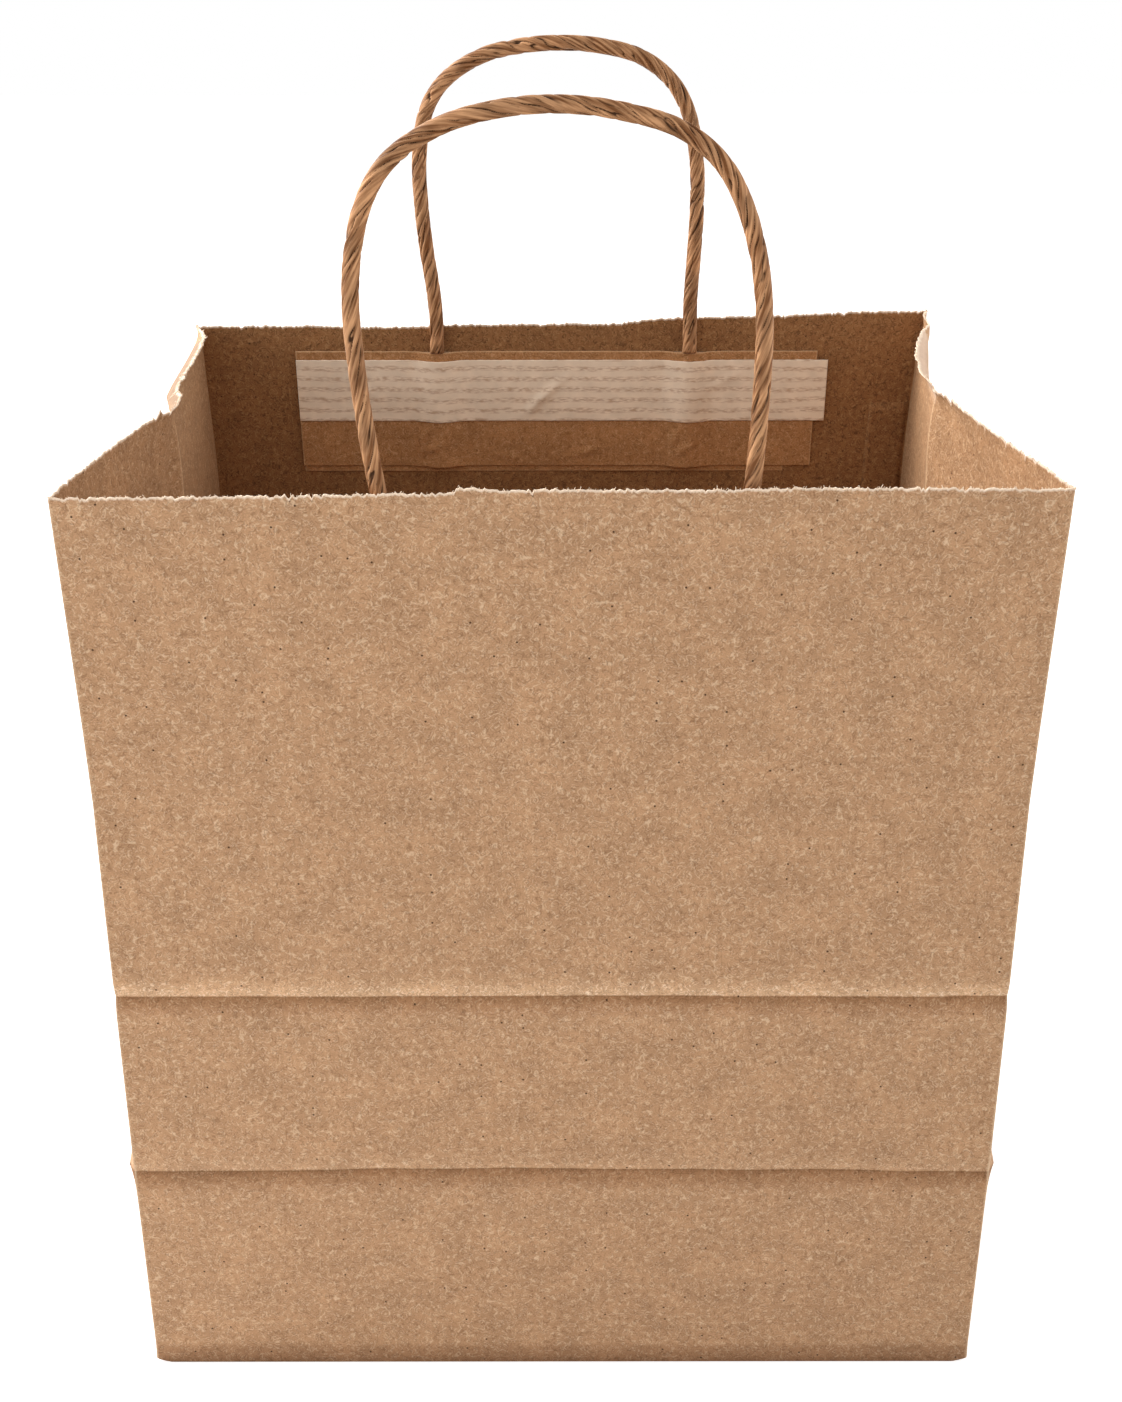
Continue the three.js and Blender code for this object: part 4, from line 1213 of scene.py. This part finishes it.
def tape_paper(name):
    """White machine-glazed tape, which gives the eye a flat off-white. It is thin, so the glue
    and the brown paper show through in rows."""
    material, tree, shader, mm = new_paper(name, roughness=0.7, specular=0.35)
    up = add(tree, "ShaderNodeSeparateXYZ", {0: mm}).outputs["Z"]
    wobble = add(tree, "ShaderNodeTexNoise", {"Vector": mm, "Scale": 1 / 14, "Detail": 2.0}).outputs["Fac"]
    shift = add(tree, "ShaderNodeMapRange", {0: wobble, 3: -1.2, 4: 1.2}).outputs[0]
    high = add(tree, "ShaderNodeMath", {0: up, 1: shift}, operation="ADD").outputs[0]
    rows_apart = {0: high, 1: 2 * math.pi / glue_pitch}
    turn = add(tree, "ShaderNodeMath", rows_apart, operation="MULTIPLY").outputs[0]
    wave = add(tree, "ShaderNodeMath", {0: turn}, operation="SINE").outputs[0]
    row = add(tree, "ShaderNodeMapRange", {0: wave, 1: -0.4, 2: 0.75}).outputs[0]
    stretch = add(tree, "ShaderNodeMapping", {"Vector": mm, "Scale": (0.45, 0.8, 2.0)}).outputs[0]
    look = {"Vector": stretch, "Scale": 1.0, "Detail": 5.0}
    dash = add(tree, "ShaderNodeTexNoise", look).outputs["Fac"]
    dashes = add(tree, "ShaderNodeMapRange", {0: dash, 1: 0.4, 2: 0.62}).outputs[0]
    glue = add(tree, "ShaderNodeMath", {0: row, 1: dashes}, operation="MULTIPLY").outputs[0]
    cloud = add(tree, "ShaderNodeTexNoise", {"Vector": mm, "Scale": 1 / 5, "Detail": 4.0}).outputs["Fac"]
    tone = add(tree, "ShaderNodeMapRange", {0: cloud, 1: 0.3, 2: 0.7, 3: 0.92, 4: 1.06}).outputs[0]
    toned = {0: paint("#f8e2c9")[:3], "Scale": tone}
    ground = add(tree, "ShaderNodeVectorMath", toned, operation="SCALE").outputs[0]
    colour = cover_where(tree, ground, glue, "#a9713c", 0.55)
    # Painted highlight: the tape's cut edges are paler, where they catch the light
    near = add(tree, "ShaderNodeAttribute", attribute_name="cut_near").outputs["Fac"]
    worn_and_lit = add(tree, "ShaderNodeMapRange", {0: near, 1: 0.4, 2: 0.9}).outputs[0]
    colour = cover_where(tree, colour, worn_and_lit, "#fff3e4", 0.8)
    tree.links.new(colour, shader.inputs["Base Color"])
    bump = add(tree, "ShaderNodeBump", {"Height": cloud, "Strength": 0.3, "Distance": 0.0002})
    tree.links.new(bump.outputs[0], shader.inputs["Normal"])
    return material


# %% The strips of both patches
white_tape = tape_paper("white_paper_tape")
strip_length = {"back": 183.4, "cover": 194, "tape": 198}
strip_middle = {"back": 6.5, "cover": 1.6, "tape": -0.4}  # mirrored on the rear wall
for hand in ("front", "rear"):
    reach = {}
    for node, long in strip_length.items():
        middle = strip_middle[node] if hand == "front" else -strip_middle[node]
        reach[node] = middle - long / 2, middle + long / 2
    all_edges = ("left", "right", "top", "foot")
    strips = {
        "back": ((0.6, 48.2), seat, 0.3, False, [kraft_patch, kraft_edge], all_edges, 31),
        "cover": ((0, 45.8), 0.9, 0.3, True, [kraft_patch, kraft_patch], all_edges[:3], 32),
        "tape": ((3.3, 27.3), 1.5, 0.25, True, [white_tape, white_tape], all_edges, 33),
    }
    for node, how in strips.items():
        piece = strip_piece(f"{hand}_{node}_strip", hand, reach[node], *how)
        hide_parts(f"{hand}_patch_{node}")
        print(piece.name, len(piece.data.polygons), "faces")

# %% [markdown]
# ## Floor and light
#
# A product is shot on a white sweep with soft light all round. The strongest soft box stands
# high behind to the left and lights the lips of the gussets, one on each side lights the inside
# of the gussets, and two weak ones fill the front. The floor is pale for the camera, and still
# takes the bag's shadow.

# %% White sweep
def seen_directly(tree):
    """1 for what the camera sees, also in a gloss or through a clear piece, and 0 for light."""
    path = add(tree, "ShaderNodeLightPath").outputs
    seen = path["Is Camera Ray"]
    for ray in ("Is Glossy Ray", "Is Transmission Ray"):
        seen = add(tree, "ShaderNodeMath", {0: seen, 1: path[ray]}, operation="MAXIMUM").outputs[0]
    return seen


def sweep_floor():
    material = bpy.data.materials.new("white_studio_sweep")
    material.use_nodes = True
    tree = material.node_tree
    tree.nodes.clear()
    matt = add(tree, "ShaderNodeBsdfDiffuse", {"Color": (0.8, 0.8, 0.8, 1)}).outputs[0]
    lit = {0: seen_directly(tree), 1: 0.62}
    strength = add(tree, "ShaderNodeMath", lit, operation="MULTIPLY").outputs[0]
    glow = add(tree, "ShaderNodeEmission", {"Color": (1, 1, 1, 1), "Strength": strength}).outputs[0]
    both = add(tree, "ShaderNodeAddShader", {0: matt, 1: glow}).outputs[0]
    add(tree, "ShaderNodeOutputMaterial", {"Surface": both})
    mesh = bmesh.new()
    bmesh.ops.create_grid(mesh, x_segments=2, y_segments=2, size=4)
    floor = keep_mesh("studio_floor", mesh, [material], smooth=False)
    return floor


print("floor:", sweep_floor().name)

# %% Light
world = bpy.data.worlds.new("studio")
bpy.context.scene.world = world
world.use_nodes = True
sky = world.node_tree
sky.nodes.clear()
strength = add(sky, "ShaderNodeMapRange", {0: seen_directly(sky), 3: 0.56, 4: 1.0}).outputs[0]
lit = add(sky, "ShaderNodeBackground", {"Color": (1, 1, 1, 1), "Strength": strength}).outputs[0]
add(sky, "ShaderNodeOutputWorld", {"Surface": lit})


def soft_box(name, place, aim, size, watts):
    lamp = bpy.data.lights.new(name, "AREA")
    lamp.shape = "RECTANGLE"
    lamp.size, lamp.size_y = size
    lamp.energy = watts
    box = bpy.data.objects.new(name, lamp)
    turned = (Vector(aim) - Vector(place)).to_track_quat("-Z", "Y").to_matrix().to_4x4()
    box.matrix_world = Matrix.Translation(place) @ turned
    bpy.context.scene.collection.objects.link(box)


soft_box("soft_box_behind", (-0.95, 0.65, 1.15), (0, 0, 0.28), (1.5, 0.9), 30)
soft_box("high_box_front", (-0.25, -1.25, 1.05), (0, 0, 0.25), (1.3, 0.8), 2.6)
soft_box("left_box_front", (-1.0, -1.0, 0.3), (0, 0, 0.2), (0.8, 0.8), 2)
soft_box("side_box_left", (-1.2, -0.04, 0.55), (0, 0, 0.34), (0.8, 0.5), 7.5)
soft_box("side_box_right", (1.2, -0.04, 0.5), (0, 0, 0.34), (0.8, 0.5), 6.5)
bpy.context.scene.view_settings.view_transform = "Standard"
